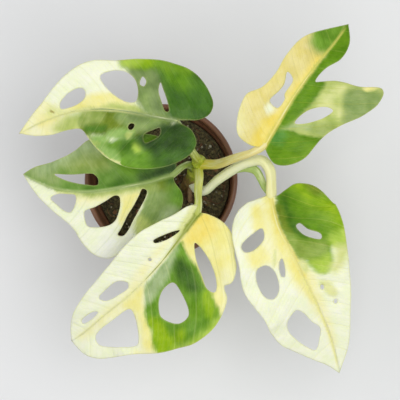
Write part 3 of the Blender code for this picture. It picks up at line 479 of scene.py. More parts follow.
             (57, -12.4), (52, -13.8), (47.2, -12.5)],
            [(15.6, 6.4), (15.3, 7.9), (19, 9.7), (22.6, 13.1), (23.8, 12.4), (20.2, 7.4)],
            [(39.8, 4.8), (40.6, 5.5), (42, 4.6), (41.2, 4)],
            [(47.1, 7.3), (47.8, 7.8), (49, 6.7), (48.2, 6.2)],
        ],
        rise=(16, 12), curl=(-12, -7), waves=[(0.7, 26, 1.6), (0.35, 12, 0.5)], radii=(1.6, 2.05),
        sheath=1.15,
        flap=[(31, 2.6, 76.6), (35.2, 2.6, 79.6), (38.9, 1.3, 80.6), (41.0, -1.8, 80.4), (42.4, -4.8, 81.2),
            (44.2, -7.4, 82.8)],
        veins=((-18, -9, -1, 8, 18.5, 28, 35, 44.5, 55, 66, 80),
            (-12, -4, 1.5, 13, 21, 31, 37, 50, 64, 78)),
        base=WHITE,
        paint=[
            (CREAM, 2.2, [(30, -4), (44, -2.5), (58, -1), (68, 0), (60, 2), (48, 3), (34, 4)]),
            (CREAM, 1.8, [(-2, -3.2), (6, -4.4), (11, -8.6), (16, -9.4), (24, -9), (28, -5), (37, -3.6),
                (44, 0), (37, 3), (28, 2.6), (20, 1.6), (8, 1.4), (-2, 1.4)]),
            (BUTTER, 1.6, [(8, -1), (14, -2.6), (20, -4), (28, -3.4), (38, -2.6), (43, 0), (36, 1.5),
                (29, 1.8), (20, 1.2), (12, 0.8)]),
            (BUTTER, 1.4, [(-1, 0.4), (-0.4, -2.4), (4, -3), (10, -2), (10, 1)]),
            (BUTTER, 1.2, [(30, 0), (38, -2), (44, -1.6), (46, 0.4), (40, 1)]),
            (YELLOW, 1.4, [(6, -0.4), (8, 0.8), (16, 1.4), (22, 1.4), (28, 1.4), (34, 0.8), (34, -0.2),
                (26, -0.5), (16, -0.7)]),
            (BUTTER, 1.8, [(3, -4.4), (3.4, -7.2), (7, -8.8), (12, -8), (12.6, -5), (7, -3.8)]),
            (BUTTER, 2.2, [(17, -9.5), (16.6, -15), (20, -16), (23, -14.4), (23, -10), (20, -8.4)]),
            (FLECK, 0.7, [(19.5, -5), (22, -6.6), (25, -8.2), (25.4, -7.2), (22.5, -5.4), (20, -4.4)]),
            (MOSS, 0.9, [(1, 2.4), (4, 1.3), (9, 0.9), (18, 1), (26, 1.4), (29, 2.4), (28, 4.4), (0, 4)]),
            (GRASS, 1.4, [(1.6, 2.8), (-3, 3.6), (-6, 9.5), (-4, 19), (3, 27), (16, 30), (28, 27), (31, 21),
                (29, 18.6), (27.6, 16.6), (28, 14.8), (30.6, 13.6), (33.6, 12.4), (35.4, 10.2), (35.4, 7.8),
                (32.6, 5), (28.6, 3.2), (24, 2.4), (16, 2.2), (8, 2.2), (4, 2.2)]),
            (LIME, 2.8, [(1, 9), (-4, 9.5), (-3, 12), (2, 14), (6, 18), (8, 25), (16, 30), (28, 26),
                (24, 20.5), (17, 18.5), (10, 16.5), (5, 13)]),
            (GREEN, 2.6, [(0, 4), (1.6, 8), (6, 11), (12, 11.4), (16, 14), (20, 15.4), (23, 14.6),
                (24.5, 11), (20, 7.4), (15, 3.4), (6, 2.4)]),
            (OLIVE, 2.2, [(-1.4, 14.6), (2.6, 15), (4.4, 18.6), (2.6, 20.6), (-2, 18.6)]),
            (BOTTLE, 2.4, [(1, 3.4), (2, 6.4), (6, 6.6), (13, 8), (16, 8.2), (19.5, 9.8), (21.5, 8),
                (20, 5), (16, 3.6), (8, 3.4)]),
            (OLIVE, 1.6, [(4, 0.9), (5.4, 3.4), (9, 4), (14, 3.8), (18, 3.8), (18, 1.6), (12, 0.9),
                (8, 0.6)]),
            (FROND, 1.6, [(16, 1.6), (17.5, 3.8), (20.4, 5), (22.4, 6.4), (24, 12), (26.6, 13.8), (29, 13),
                (29.4, 7), (28, 3.2), (24, 1.8)]),
            (PALE_LIME, 1.8, [(29, 3.4), (29.8, 8), (29.8, 12.8), (33.4, 12.4), (35.6, 10.4), (35.6, 7.6),
                (32.8, 5)]),
            (PALE_LIME, 1.8, [(24.6, 15.6), (24, 19), (26, 24), (30, 22), (31, 18), (28.6, 15)]),
            (FLECK, 1.2, [(28, 1), (28, 3.2), (32.6, 3.4), (32.6, 1)]),
            (FLECK, 2.4, [(29, 16), (30, 20), (33, 19), (36, 16), (38, 12), (36, 10.6), (33, 13.4)]),
            (FLECK, 1.2, [(38, 4.6), (39.5, 8), (44, 9), (46.4, 8), (45, 5.8), (41, 4.4)]),
        ],
        # the petiole's near-white stem end is painted light that offsets the shade there
        rib=((236, 224, 112), (238, 234, 150)), stalk=((250, 252, 224), (246, 248, 204), (230, 226, 160)),
    ),
}


def linear(rgb):
    """An sRGB colour, 0-255, as the shader's linear one."""
    shares = [value / 255 for value in rgb]
    return tuple(v / 12.92 if v <= 0.04045 else ((v + 0.055) / 1.055) ** 2.4 for v in shares) + (1.0,)


class Surface:
    """A material being made: add() puts in a node and links or sets its inputs, in their order."""

    def __init__(self, name, roughness, **settings):
        """settings are other inputs of the shader, with _ for each space."""
        self.material = bpy.data.materials.new(name)
        self.material.use_nodes = True
        self.tree = self.material.node_tree
        self.shader = self.tree.nodes["Principled BSDF"]
        self.shader.inputs["Roughness"].default_value = roughness
        for key, value in settings.items():
            self.shader.inputs[key.replace("_", " ")].default_value = value

    def feed(self, socket, value):
        """Links the socket to a node's output, or sets it to a plain value."""
        if isinstance(value, bpy.types.NodeSocket):
            self.tree.links.new(value, socket)
        else:
            socket.default_value = value

    def add(self, kind, *inputs, out=0, **settings):
        node = self.tree.nodes.new("ShaderNode" + kind)
        for key, value in settings.items():
            setattr(node, key, value)
        for socket, value in zip(node.inputs, inputs):
            if value is not None:
                self.feed(socket, value)
        return node.outputs[out]

    def read(self, name):
        """A number kept on the mesh's points."""
        return self.add("Attribute", attribute_name=name, out=2)

    def read_place(self, name):
        """A vector kept on the mesh's points."""
        return self.add("Attribute", attribute_name=name, out=1)

    def math(self, operation, a, b=0.0):
        return self.add("Math", a, b, operation=operation)

    def joined(self, operation, *parts):
        """The parts, each times its own factor, joined by one operation."""
        products = [self.math("MULTIPLY", value, factor) for value, factor in parts]
        whole = products[0]
        for product in products[1:]:
            whole = self.math(operation, whole, product)
        return whole

    def ramp(self, value, low, high, to_low=0.0, to_high=1.0):
        """A soft step: to_low under low, to_high over high."""
        return self.add("MapRange", value, low, high, to_low, to_high, interpolation_type="SMOOTHSTEP")

    def noise(self, place, scale, detail=3.0, roughness=0.55):
        return self.add("TexNoise", place, None, scale, detail, roughness)

    def stretched(self, place, factors):
        return self.add("VectorMath", place, factors, operation="MULTIPLY")

    def mix(self, share, first, second):
        sockets = (share, None, None, None, None, None, first, second)
        return self.add("Mix", *sockets, data_type="RGBA", out=2)

    def marbled(self, share, paint):
        """A paint's two colours, mixed by the share."""
        return self.mix(share, *[linear(rgb) for rgb in paint])

    def bump(self, height, distance, strength=1.0):
        node = self.tree.nodes.new("ShaderNodeBump")
        node.inputs["Strength"].default_value = strength
        node.inputs["Distance"].default_value = distance
        self.feed(node.inputs["Height"], height)
        self.feed(self.shader.inputs["Normal"], node.outputs[0])

    def paint(self, colour):
        self.feed(self.shader.inputs["Base Color"], colour)


def smooth_curve(points, per_span=12):
    """A centripetal Catmull-Rom curve through the points, as an array."""
    points = np.asarray(points, float)
    padded = np.vstack([2 * points[0] - points[1], points, 2 * points[-1] - points[-2]])
    out = []
    for a, b, c, d in zip(padded, padded[1:], padded[2:], padded[3:]):
        t1 = math.sqrt(np.linalg.norm(b - a))
        t2 = t1 + math.sqrt(np.linalg.norm(c - b))
        t3 = t2 + math.sqrt(np.linalg.norm(d - c))
        for t in np.linspace(t1, t2, per_span, endpoint=False):
            ab = ((t1 - t) * a + t * b) / t1
            bc = ((t2 - t) * b + (t - t1) * c) / (t2 - t1)
            cd = ((t3 - t) * c + (t - t2) * d) / (t3 - t2)
            abc = ((t2 - t) * ab + t * bc) / t2
            bcd = ((t3 - t) * bc + (t - t1) * cd) / (t3 - t1)
            out.append(((t2 - t) * abc + (t - t1) * bcd) / (t2 - t1))
    out.append(points[-1])
    return np.array(out)


def arc_lengths(points):
    return np.concatenate([[0], np.cumsum(np.linalg.norm(np.diff(points, axis=0), axis=1))])


def spaced(points, step):
    """The same line with evenly spaced points about step apart."""
    along = arc_lengths(points)
    count = max(2, round(along[-1] / step) + 1)
    at = np.linspace(0, along[-1], count)
    return np.stack([np.interp(at, along, column) for column in points.T], axis=-1)


def closed_ring(points, step):
    """A smooth closed outline through the points, evenly spaced, without a repeated end."""
    ring = list(points)
    per_span = 12
    curve = smooth_curve(ring[-2:] + ring + ring[:2], per_span)
    curve = curve[2 * per_span:(2 + len(ring)) * per_span + 1]
    return spaced(curve, step)[:-1]


def inside(points, ring):
    """Which points lie inside the closed outline, by counting crossings."""
    x, y = points[:, 0], points[:, 1]
    odd = np.zeros(len(points), bool)
    for (x0, y0), (x1, y1) in zip(ring, np.roll(ring, -1, axis=0)):
        if y0 != y1:
            odd ^= ((y0 > y) != (y1 > y)) & (x < x0 + (x1 - x0) * (y - y0) / (y1 - y0))
    return odd


def distance_to(points, ring):
    """How far each point is from the closed outline."""
    nearest = np.full(len(points), 1e9)
    for a, b in zip(ring, np.roll(ring, -1, axis=0)):
        along = b - a
        share = np.clip((points - a) @ along / (along @ along), 0, 1)
        gap = points - a - share[:, None] * along
        nearest = np.minimum(nearest, np.hypot(gap[:, 0], gap[:, 1]))
    return nearest


def depth_in(points, ring):
    """The distance to the outline, above 0 inside it and below 0 outside."""
    return distance_to(points, ring) * np.where(inside(points, ring), 1, -1)


class BentBlade:
    """Takes a flat blade's (along, across) to its place in space, in millimetres."""

    def __init__(self, leaf):
        self.leaf = leaf
        self.line = smooth_curve(leaf["midrib"], 40)
        self.along = arc_lengths(self.line)
        self.length = self.along[-1]
        slope = np.gradient(self.line, self.along, axis=0)
        self.slope = slope / np.linalg.norm(slope, axis=1)[:, None]

    def frame(self, s):
        """Point on the midrib, its direction, the level direction to the left, and up from the blade."""
        held = np.clip(s, 0, self.length)
        point = np.stack([np.interp(held, self.along, column) for column in self.line.T], axis=-1)
        ahead = np.stack([np.interp(held, self.along, column) for column in self.slope.T], axis=-1)
        ahead /= np.linalg.norm(ahead, axis=-1)[..., None]
        left = np.cross((0, 0, 1), ahead)
        left /= np.linalg.norm(left, axis=-1)[..., None]
        return point + (s - held)[..., None] * ahead, ahead, left, np.cross(ahead, left)

    def place(self, s, t):
        s, t = np.asarray(s, float), np.asarray(t, float)
        point, _, left, up = self.frame(s)
        is_left = t > 0
        rise = np.where(is_left, *self.leaf["rise"])
        curl = np.where(is_left, *self.leaf["curl"])
        reach = np.abs(t)
        sideways, lift = np.zeros(reach.shape), np.zeros(reach.shape)
        nodes, weights = np.polynomial.legendre.leggauss(6)
        for node, weight in zip((nodes + 1) / 2, weights / 2):
            at = reach * node
            angle = np.radians(rise * (1 - np.exp(-at / FOLD_WIDTH)) + curl * at / 10)
            sideways += weight * reach * np.cos(angle)
            lift += weight * reach * np.sin(angle)
        for height, length, phase in self.leaf["waves"]:
            side_phase = np.where(is_left, 0, RIGHT_PHASE)
            swing = np.sin(2 * math.pi * s / length + phase + side_phase)
            lift += height * np.minimum(reach / WAVE_REACH, WAVE_LIMIT) ** 2 * swing
        return point + (np.sign(t) * sideways)[..., None] * left + lift[..., None] * up

    def normal(self, s, t):
        step = 0.05
        ahead = self.place(s + step, t) - self.place(s - step, t)
        left = self.place(s, t + step) - self.place(s, t - step)
        normal = np.cross(ahead, left)
        return normal / np.linalg.norm(normal, axis=-1)[..., None]


def blade_rings(leaf, length):
    """The flat blade's margin and the margins of its holes."""
    base, tip = (0, 0), (length, 0)
    left = spaced(smooth_curve([base] + leaf["left"] + [tip]), EDGE_STEP)
    right = spaced(smooth_curve([base] + [(s, -t) for s, t in leaf["right"]] + [tip]), EDGE_STEP)
    return [np.vstack([right[:-1], left[:0:-1]])] + [closed_ring(hole, EDGE_STEP) for hole in leaf["holes"]]


def flat_blade(rings, length):
    """Points and triangles of the flat blade, its holes left out."""
    outline, holes = rings[0], rings[1:]
    low, high = outline.min(axis=0), outline.max(axis=0)
    rows = np.arange(low[1], high[1], GRID_STEP * math.sqrt(3) / 2)
    grid = [(s + (row % 2) * GRID_STEP / 2, t) for row, t in enumerate(rows)
            for s in np.arange(low[0], high[0], GRID_STEP)]
    grid = np.array(grid + [(s, 0) for s in np.arange(EDGE_STEP, length - 1, GRID_STEP / 2)])
    on_midrib = grid[:, 1] == 0
    clear = inside(grid, outline) & (on_midrib | (np.abs(grid[:, 1]) > GRID_STEP * 0.4))
    for ring in holes:
        clear &= ~inside(grid, ring)
    grid = grid[clear]
    near = np.min([distance_to(grid, ring) for ring in rings], axis=0)
    grid = grid[near > GRID_STEP * 0.5]

    edges, start = [], 0
    for ring in rings:
        count = len(ring)
        edges += [(start + i, start + (i + 1) % count) for i in range(count)]
        start += count
    points = [Vector(point) for point in np.vstack(rings + [grid])]
    verts, _, faces, *_ = delaunay_2d_cdt(points, edges, [], 0, 1e-6)
    verts = np.array([tuple(v) for v in verts])
    faces = np.array(faces)
    middles = verts[faces].mean(axis=1)
    keep = inside(middles, outline)
    for ring in holes:
        keep &= ~inside(middles, ring)
    return verts, faces[keep]


def vein_start(s, t):
    """Where on the midrib the side vein through a point starts: it runs outward and forward."""
    across = np.abs(t)
    return s - VEIN_SLANT * across - VEIN_BEND * across ** 2


def vein_count(s, t, leaf):
    """A number that is whole on each main side vein, and in between halfway between two of them."""
    start = vein_start(s, t)
    left, right = [np.interp(start, veins, np.arange(len(veins))) for veins in leaf["veins"]]
    return np.where(t > 0, left, right)


def blade_relief(s, t, leaf, margin):
    """The blade's low relief: quilted between its side veins, grooved along the midrib, uneven all over."""
    across = np.abs(t)
    quilt = np.abs(np.sin(math.pi * vein_count(s, t, leaf))) ** 1.3
    quilt *= np.clip((across - 1.5) / 4, 0, 1) * np.clip(margin / 3, 0.15, 1)
    groove = np.exp(-(across / 0.8) ** 2) - 0.6 * np.exp(-((across - 1.9) / 0.9) ** 2)
    groove *= np.clip(1.15 - s / 70, 0.2, 1)
    uneven = np.array([noise.noise(Vector((a * 0.16, b * 0.16, 3.1))) for a, b in zip(s, t)])
    uneven += 0.35 * np.array([noise.noise(Vector((a * 0.55, b * 0.55, 7.7))) for a, b in zip(s, t)])
    uneven *= np.clip(across / 5, 0.2, 1)
    return QUILT_HEIGHT * quilt - GROOVE_DEPTH * groove + UNEVEN_HEIGHT * uneven


def mesh_piece(name, verts, faces, slot, node=None):
    """A smooth closed mesh from points in millimetres, as a piece that rides on the root body."""
    mesh = bpy.data.meshes.new(name)
    mesh.from_pydata((np.asarray(verts) * MM).tolist(), [], [tuple(face) for face in faces])
    work = bmesh.new()
    work.from_mesh(mesh)
    bmesh.ops.recalc_face_normals(work, faces=work.faces)
    work.to_mesh(mesh)
    work.free()
    mesh.shade_smooth()
    piece = bpy.data.objects.new(name, mesh)
    bpy.context.scene.collection.objects.link(piece)
    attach(piece, "root")
    if node:
        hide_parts(node)
    return piece


def give(piece, name, values):
    """Keeps a number or a vector for each point of the piece's mesh."""
    values = np.asarray(values, float)
    is_vector = values.ndim == 2
    kept = piece.data.attributes.new(name, "FLOAT_VECTOR" if is_vector else "FLOAT", "POINT")
    kept.data.foreach_set("vector" if is_vector else "value", values.ravel())


def tube(path, radii, sides, widening=None, groove=None):
    """Points, faces and skin places of a tube; groove is each ring's furrow along its upper side."""
    path = np.asarray(path, float)
    widening = np.ones(len(path)) if widening is None else widening
    groove = np.zeros(len(path)) if groove is None else groove
    ahead = np.gradient(path, axis=0)
    ahead /= np.linalg.norm(ahead, axis=1)[:, None]
    side = np.cross((0, 0, 1), ahead[0])
    if np.linalg.norm(side) < 0.1:
        side = np.array((1.0, 0, 0))
    turns = 2 * math.pi * np.arange(sides) / sides
    furrow = np.exp(-(np.abs(turns - math.pi / 2) / FURROW_WIDTH) ** 2)
    verts = []
    for point, direction, radius, wide, depth in zip(path, ahead, radii, widening, groove):
        side = side - direction * side.dot(direction)
        side /= np.linalg.norm(side)
        up = np.cross(direction, side)
        reach = radius * (1 - depth * furrow)
        sideways = np.outer(reach * wide * np.cos(turns), side)
        verts.append(point + sideways + np.outer(reach * np.sin(turns), up))
    faces = []
    for ring in range(len(path) - 1):
        for i in range(sides):
            a, b = ring * sides + i, ring * sides + (i + 1) % sides
            faces.append((a, b, b + sides, a + sides))
    faces.append(tuple(range(sides))[::-1])
    faces.append(tuple((len(path) - 1) * sides + i for i in range(sides)))
    skin = np.zeros((len(path), sides, 3))
    skin[:, :, 0] = arc_lengths(path)[:, None]
    skin[:, :, 1] = np.cos(turns) * np.mean(radii)
    skin[:, :, 2] = np.sin(turns) * np.mean(radii)
    return np.vstack(verts), faces, skin.reshape(-1, 3)


def blade_material(name, leaf):
    """Variegated blade: paints with streaked borders, then veins, midrib, margin and underside."""
    look = Surface(name, roughness=0.4, Subsurface_Weight=0.25, Subsurface_Scale=0.0012,
                   Subsurface_Radius=(1.0, 1.0, 0.35), Specular_IOR_Level=0.12)
    flat, flow = look.read_place("flat"), look.read_place("flow")
    streak = look.noise(look.stretched(flow, STREAK_GRAIN), 1.0, 4.0, 0.62)
    blotch = look.noise(look.stretched(flat, BLOTCH_GRAIN), 1.0, 2.0)
    fine = look.noise(look.stretched(flow, FINE_GRAIN), 1.0, 3.0, 0.6)
    clump = look.noise(look.stretched(flat, CLUMP_GRAIN), 1.0, 2.0, 0.5)
    swings = ((streak, STREAK_SWING), (blotch, BLOTCH_SWING), (fine, FINE_SWING))
    wander = look.joined("ADD", *[(look.math("SUBTRACT", value, 0.5), swing) for value, swing in swings])
    marble = look.ramp(look.joined("ADD", (streak, 0.3), (clump, 0.7)), *MARBLING)

    colour = look.marbled(marble, leaf["base"])
    # the paints include painted shade, painted light and painted sheen
    for index, (paint, softness, _) in enumerate(leaf["paint"]):
        share = look.ramp(look.math("ADD", look.read(f"paint_{index}"), wander), -softness, softness)
        colour = look.mix(share, colour, look.marbled(marble, paint))

    veins = look.read("veins")
    main_vein = look.ramp(look.math("PINGPONG", veins, 0.5), 0.008, 0.05, 1.0, 0.0)
    to_minor = look.math("PINGPONG", look.math("MULTIPLY", veins, 4.0), 0.5)
    minor_vein = look.ramp(to_minor, 0.03, 0.2, 1.0, 0.0)
    net = look.add("TexVoronoi", look.stretched(flow, NET_GRAIN), None, 1.0, feature="DISTANCE_TO_EDGE")
    net_vein = look.ramp(net, 0.02, 0.12, 1.0, 0.0)
    # Veins show less on dark green
    veil = look.ramp(look.add("RGBToBW", colour), 0.08, 0.55, 0.45, 1.0)
    tint = look.joined("MAXIMUM", (main_vein, 0.16), (minor_vein, 0.05), (net_vein, 0.04))
    tint = look.math("MULTIPLY", tint, veil)
    tint = look.math("MAXIMUM", tint, look.math("MULTIPLY", look.read("rib"), 0.85))
    toward_tip = look.ramp(look.read("along"), 8.0, 24.0)
    colour = look.mix(tint, colour, look.marbled(toward_tip, leaf["rib"]))

    edge = look.math("MULTIPLY", look.ramp(look.read("margin"), 0.05, 0.5, 0.36, 0.0), veil)
    colour = look.mix(edge, colour, linear(BLADE_MARGIN))
    under = look.ramp(look.read("top"), 0.2, 0.8, 0.35, 0.0)
    look.paint(look.mix(under, colour, linear(BLADE_UNDERSIDE)))
    look.feed(look.shader.inputs["Roughness"], look.ramp(fine, 0.3, 0.7, 0.31, 0.4))
    relief = look.joined("ADD", (minor_vein, -0.5), (net_vein, -0.35), (main_vein, -0.4), (fine, 0.5))
    look.bump(relief, 0.00012, 0.7)
    return look.material


def stalk_material(name, leaf):
    """The petiole's colours along it, the midrib's, the sheath's loose edge, and streaks over them all."""
    look = Surface(name, roughness=0.42, Subsurface_Weight=0.2, Subsurface_Scale=0.0012,
                   Subsurface_Radius=(1.0, 1.0, 0.4))
    skin, along = look.read_place("skin"), look.read("along")
    at_stem, middle, at_blade = [linear(rgb) for rgb in leaf["stalk"]]
    colour = look.mix(look.ramp(along, 0.05, 0.5), at_stem, middle)
    colour = look.mix(look.ramp(along, 0.55, 0.95), colour, at_blade)
    colour = look.mix(look.ramp(along, 1.0, 1.1, 0.0, 0.8), colour, linear(leaf["rib"][0]))
    colour = look.mix(look.ramp(along, FLAP_MARK / 2, 0.0), linear(FLAP_COLOUR), colour)
    streak = look.noise(look.stretched(skin, STALK_GRAIN), 1.0, 4.0, 0.6)
    upward = look.add("SeparateXYZ", skin, out=2)
    # greener along the lower side: the petiole's own colour, with painted shade
    below = look.ramp(look.joined("ADD", (upward, 1.0), (streak, 1.6)), -0.8, 1.2, 0.5, 0.0)
    colour = look.mix(below, colour, linear(STALK_UNDERSIDE_AND_SHADE))
    colour = look.mix(look.ramp(streak, 0.56, 0.72, 0.0, 0.3), colour, linear(STALK_DARK_STREAKS))
    colour = look.mix(look.ramp(streak, 0.34, 0.5, 0.45, 0.0), colour, linear(STALK_PALE_STREAKS))
    look.paint(colour)
    look.bump(look.joined("ADD", (streak, 1.0), (look.noise(skin, 2.5), 0.3)), 0.00015, 0.8)
    return look.material


def mottled_material(name, paint, scale, roughness, relief, grain):
    """A rough surface: a paint marbled by noise, and a grain as bump. scale and grain are per metre."""
    look = Surface(name, roughness)
    place = look.add("TexCoord", out=3)
    look.paint(look.marbled(look.ramp(look.noise(place, scale, 5.0, 0.65), *MARBLING), paint))
    look.bump(look.noise(place, grain, 5.0, 0.7), relief)
    return look.material


def make_blade(name, leaf, shift):
    """The thin blade with its holes, as one closed mesh, and what its material reads."""
    blade = BentBlade(leaf)
    rings = blade_rings(leaf, blade.length)
    flat, triangles = flat_blade(rings, blade.length)
    s, t = flat[:, 0], flat[:, 1]
    margin = np.min([distance_to(flat, ring) for ring in rings], axis=0)
    normal = blade.normal(s, t)
    middle = blade.place(s, t) + normal * blade_relief(s, t, leaf, margin)[:, None]
    share = np.sqrt(np.clip(margin / MARGIN_WIDTH, 0, 1))
    half = (MARGIN_THICKNESS + (BLADE_THICKNESS - MARGIN_THICKNESS) * share) / 2
    offset = normal * half[:, None]
    count = len(flat)
    faces = [tuple(face) for face in triangles]
    faces += [tuple(count + i for i in face[::-1]) for face in triangles]
    edges = {(a, b) for face in triangles for a, b in zip(face, np.roll(face, -1))}
    for a, b in edges:
        if (b, a) not in edges:
            faces.append((a, a + count, b + count, b))
    piece = mesh_piece(name + "_blade", np.vstack([middle + offset, middle - offset]), faces, "leaf", name)
    rib_width = np.clip(0.95 - 0.6 * s / blade.length, 0.2, 1)
    side = np.where(t > 0, 0, HALF_SHIFT) + shift
    values = {
        "flat": np.stack([s, t, np.full(count, shift)], axis=-1),
        "flow": np.stack([vein_start(s, t), np.abs(t), side], axis=-1),
        "veins": vein_count(s, t, leaf),
        "margin": margin,
        "rib": np.clip(1.4 - np.abs(t) / rib_width, 0, 1) * np.clip((blade.length * 0.98 - s) / 4, 0, 1),
        "along": s,
    }
    for index, (_, _, outline) in enumerate(leaf["paint"]):
        values[f"paint_{index}"] = depth_in(flat, closed_ring(outline, PAINT_STEP))
    for key, value in values.items():
        give(piece, key, np.concatenate([value, value]))
    give(piece, "top", np.repeat([1, 0], count))
    piece.data.materials.append(blade_material(piece.name, leaf))


def make_stalk(name, leaf):
    """The petiole, a little swollen before the blade, with any loose sheath edge, and the raised midrib."""
    blade = BentBlade(leaf)
    at_stem, at_blade = leaf["radii"]
    end = blade.length * MIDRIB_END
    rib_radius = at_blade * RIB_SHARE

    def below(run):
        """The midrib's middle line under the blade, and its radii."""
        radii = rib_radius + (MIDRIB_TIP_RADIUS - rib_radius) * run / end
        middle = np.zeros(len(run))
        return blade.place(run, middle) - blade.normal(run, middle) * (radii - RIB_RISE)[:, None], radii

    guide, _ = below(RIB_START + RIB_GUIDE_STEP * np.arange(3))
    under, rib_radii = below(np.arange(RIB_START, end, STALK_STEP))
    stalk = spaced(smooth_curve(leaf["petiole"] + [tuple(p) for p in guide]), STALK_STEP)
    joined = np.linalg.norm(stalk - under[0], axis=1).argmin()
    path = np.vstack([stalk[:joined], under])
    share = np.linspace(0, 1, joined)
    to_blade = arc_lengths(stalk[:joined])[-1] - arc_lengths(stalk[:joined])
    stalk_radii = at_stem + (at_blade - at_stem) * np.minimum(share * 1.6, 1)
    stalk_radii = stalk_radii * (1 - 0.08 * np.exp(-((to_blade - 6.5) / 2) ** 2))
    radii = np.concatenate([stalk_radii, rib_radii])
    widening = np.ones(len(path))
    widening[:joined] += (leaf["sheath"] - 1) * np.clip(1.6 - 2 * share, 0, 1)
    groove = np.zeros(len(path))
    groove[:joined] = 0.2 * np.clip(share * 5, 0, 1) * np.clip(to_blade / 5, 0, 1)
    verts, faces, skin = tube(path, radii, STALK_SIDES, widening, groove)
    along = np.concatenate([share, 1 + np.arange(1, len(under) + 1) * STALK_STEP / 10])
    along = np.repeat(along, STALK_SIDES)
    if "flap" in leaf:
        flap = spaced(smooth_curve(leaf["flap"]), FLAP_STEP)
        flap_radii = np.linspace(FLAP_RADIUS, FLAP_TIP_RADIUS, len(flap))
        more, more_faces, more_skin = tube(flap, flap_radii, STALK_SIDES, np.full(len(flap), FLAP_WIDENING))
        faces = faces + [tuple(i + len(verts) for i in face) for face in more_faces]
        verts, skin = np.vstack([verts, more]), np.vstack([skin, more_skin])
        along = np.concatenate([along, np.full(len(more), FLAP_MARK)])
    piece = mesh_piece(name + "_stalk", verts, faces, "leaf", name)
    give(piece, "skin", skin)
    give(piece, "along", along)
    piece.data.materials.append(stalk_material(piece.name, leaf))


def cut_out(piece, other):
    """Cuts the other object out of the piece's mesh, and removes it."""
    cut = piece.modifiers.new("cut", "BOOLEAN")
    cut.operation = "DIFFERENCE"
    cut.object = other
    graph = bpy.context.evaluated_depsgraph_get()
    made = bpy.data.meshes.new_from_object(piece.evaluated_get(graph))
    piece.modifiers.clear()
    piece.data = made
    bpy.data.objects.remove(other)


def revolve(profile, sides):
    """A closed solid turned round +Z from a profile that starts and ends on the axis."""
    turns = 2 * math.pi * np.arange(sides) / sides
    verts = [(0, 0, profile[0][1])]
    for radius, height in profile[1:-1]:
        verts += [(radius * math.cos(turn), radius * math.sin(turn), height) for turn in turns]
    verts.append((0, 0, profile[-1][1]))
    faces, rings, last = [], len(profile) - 2, len(verts) - 1
    for i in range(sides):
        j = (i + 1) % sides
        faces.append((0, 1 + j, 1 + i))
        for ring in range(rings - 1):
            a = 1 + ring * sides
            faces.append((a + i, a + j, a + sides + j, a + sides + i))
        a = 1 + (rings - 1) * sides
        faces.append((a + i, a + j, last))
    return verts, faces


def rounded(profile, radius):
    """The profile with each inner corner turned into a small arc-like curve."""
    out = [profile[0]]
    for before, corner, after in zip(profile, profile[1:], profile[2:]):
        before, corner, after = [np.array(p, float) for p in (before, corner, after)]
        into, out_of = before - corner, after - corner
        cut_in = min(radius, np.linalg.norm(into) * 0.45)
        cut_out = min(radius, np.linalg.norm(out_of) * 0.45)
        start = corner + into / np.linalg.norm(into) * cut_in
        end = corner + out_of / np.linalg.norm(out_of) * cut_out
        for share in (0, 0.25, 0.5, 0.75, 1):
            point = (1 - share) ** 2 * start + 2 * share * (1 - share) * corner + share ** 2 * end
            out.append(tuple(point))
    return out + [profile[-1]]


def make_pot():
    """The thin plastic pot: tapered, with an upright band, a rolled lip and drain holes."""
    profile = [
        (0, 0),
        (BASE_RADIUS - 1.2, 0),
        (BASE_RADIUS, 1.0),
        (SHOULDER_RADIUS, SHOULDER_HEIGHT),
        (BAND_RADIUS - 0.3, SHOULDER_HEIGHT + 1.2),
        (BAND_RADIUS, POT_HEIGHT - LIP_HEIGHT),
        (RIM_RADIUS, POT_HEIGHT - LIP_HEIGHT + 0.3),
        (RIM_RADIUS, POT_HEIGHT - 0.7),
        (RIM_RADIUS - 0.5, POT_HEIGHT),
        (BAND_RADIUS - 0.4, POT_HEIGHT),
        (BAND_RADIUS - WALL, POT_HEIGHT - 0.8),
        (BAND_RADIUS - WALL - 0.3, SHOULDER_HEIGHT + 1.8),
        (SHOULDER_RADIUS - WALL, SHOULDER_HEIGHT + 0.5),
        (BASE_RADIUS - WALL, BASE_THICKNESS),
        (0, BASE_THICKNESS),
    ]
    pot = mesh_piece("pot_shell", *revolve(rounded(profile, POT_ROUNDING), ROUND_SIDES), "pot", "pot")
    for i in range(DRAIN_COUNT):
        turn = 2 * math.pi * (i + 0.5) / DRAIN_COUNT + DRAIN_TURN
        x, y = DRAIN_CIRCLE * math.cos(turn), DRAIN_CIRCLE * math.sin(turn)
        ends = [(x, y, -DRILL_REACH), (x, y, BASE_THICKNESS + DRILL_REACH)]
        cut_out(pot, mesh_piece("drill", *tube(ends, [DRAIN_RADIUS] * 2, DRAIN_SIDES)[:2], "pot"))
    pot.data.shade_smooth()
    pot.data.set_sharp_from_angle(angle=math.radians(POT_SHARP_ANGLE))
    pot.data.materials.clear()
    pot.data.materials.append(mottled_material("pot_plastic", POT_PAINT, 60, 0.42, 0.00004, 1500))


def inner_wall_radius(height):
    """The pot's inner radius at a height on its tapered wall."""
    share = (height - BASE_THICKNESS) / (SHOULDER_HEIGHT - BASE_THICKNESS)
    low, high = BASE_RADIUS - WALL, SHOULDER_RADIUS - WALL
    return low + (high - low) * min(share, 1.0)


def soil_height(x, y):
    """The mix is lumpy, and lies a little higher on one side of the stem."""
    lumps = math.sin(0.55 * x + 1.3 + math.sin(0.31 * y)) * math.cos(0.47 * y - 0.4 + math.sin(0.37 * x))
    fine = 0.6 * math.sin(0.9 * x + math.sin(0.7 * y)) * math.sin(0.83 * y + 2.0 - math.sin(0.5 * x))
    return SOIL_TOP + SOIL_RELIEF * (lumps + fine + 0.03 * x)


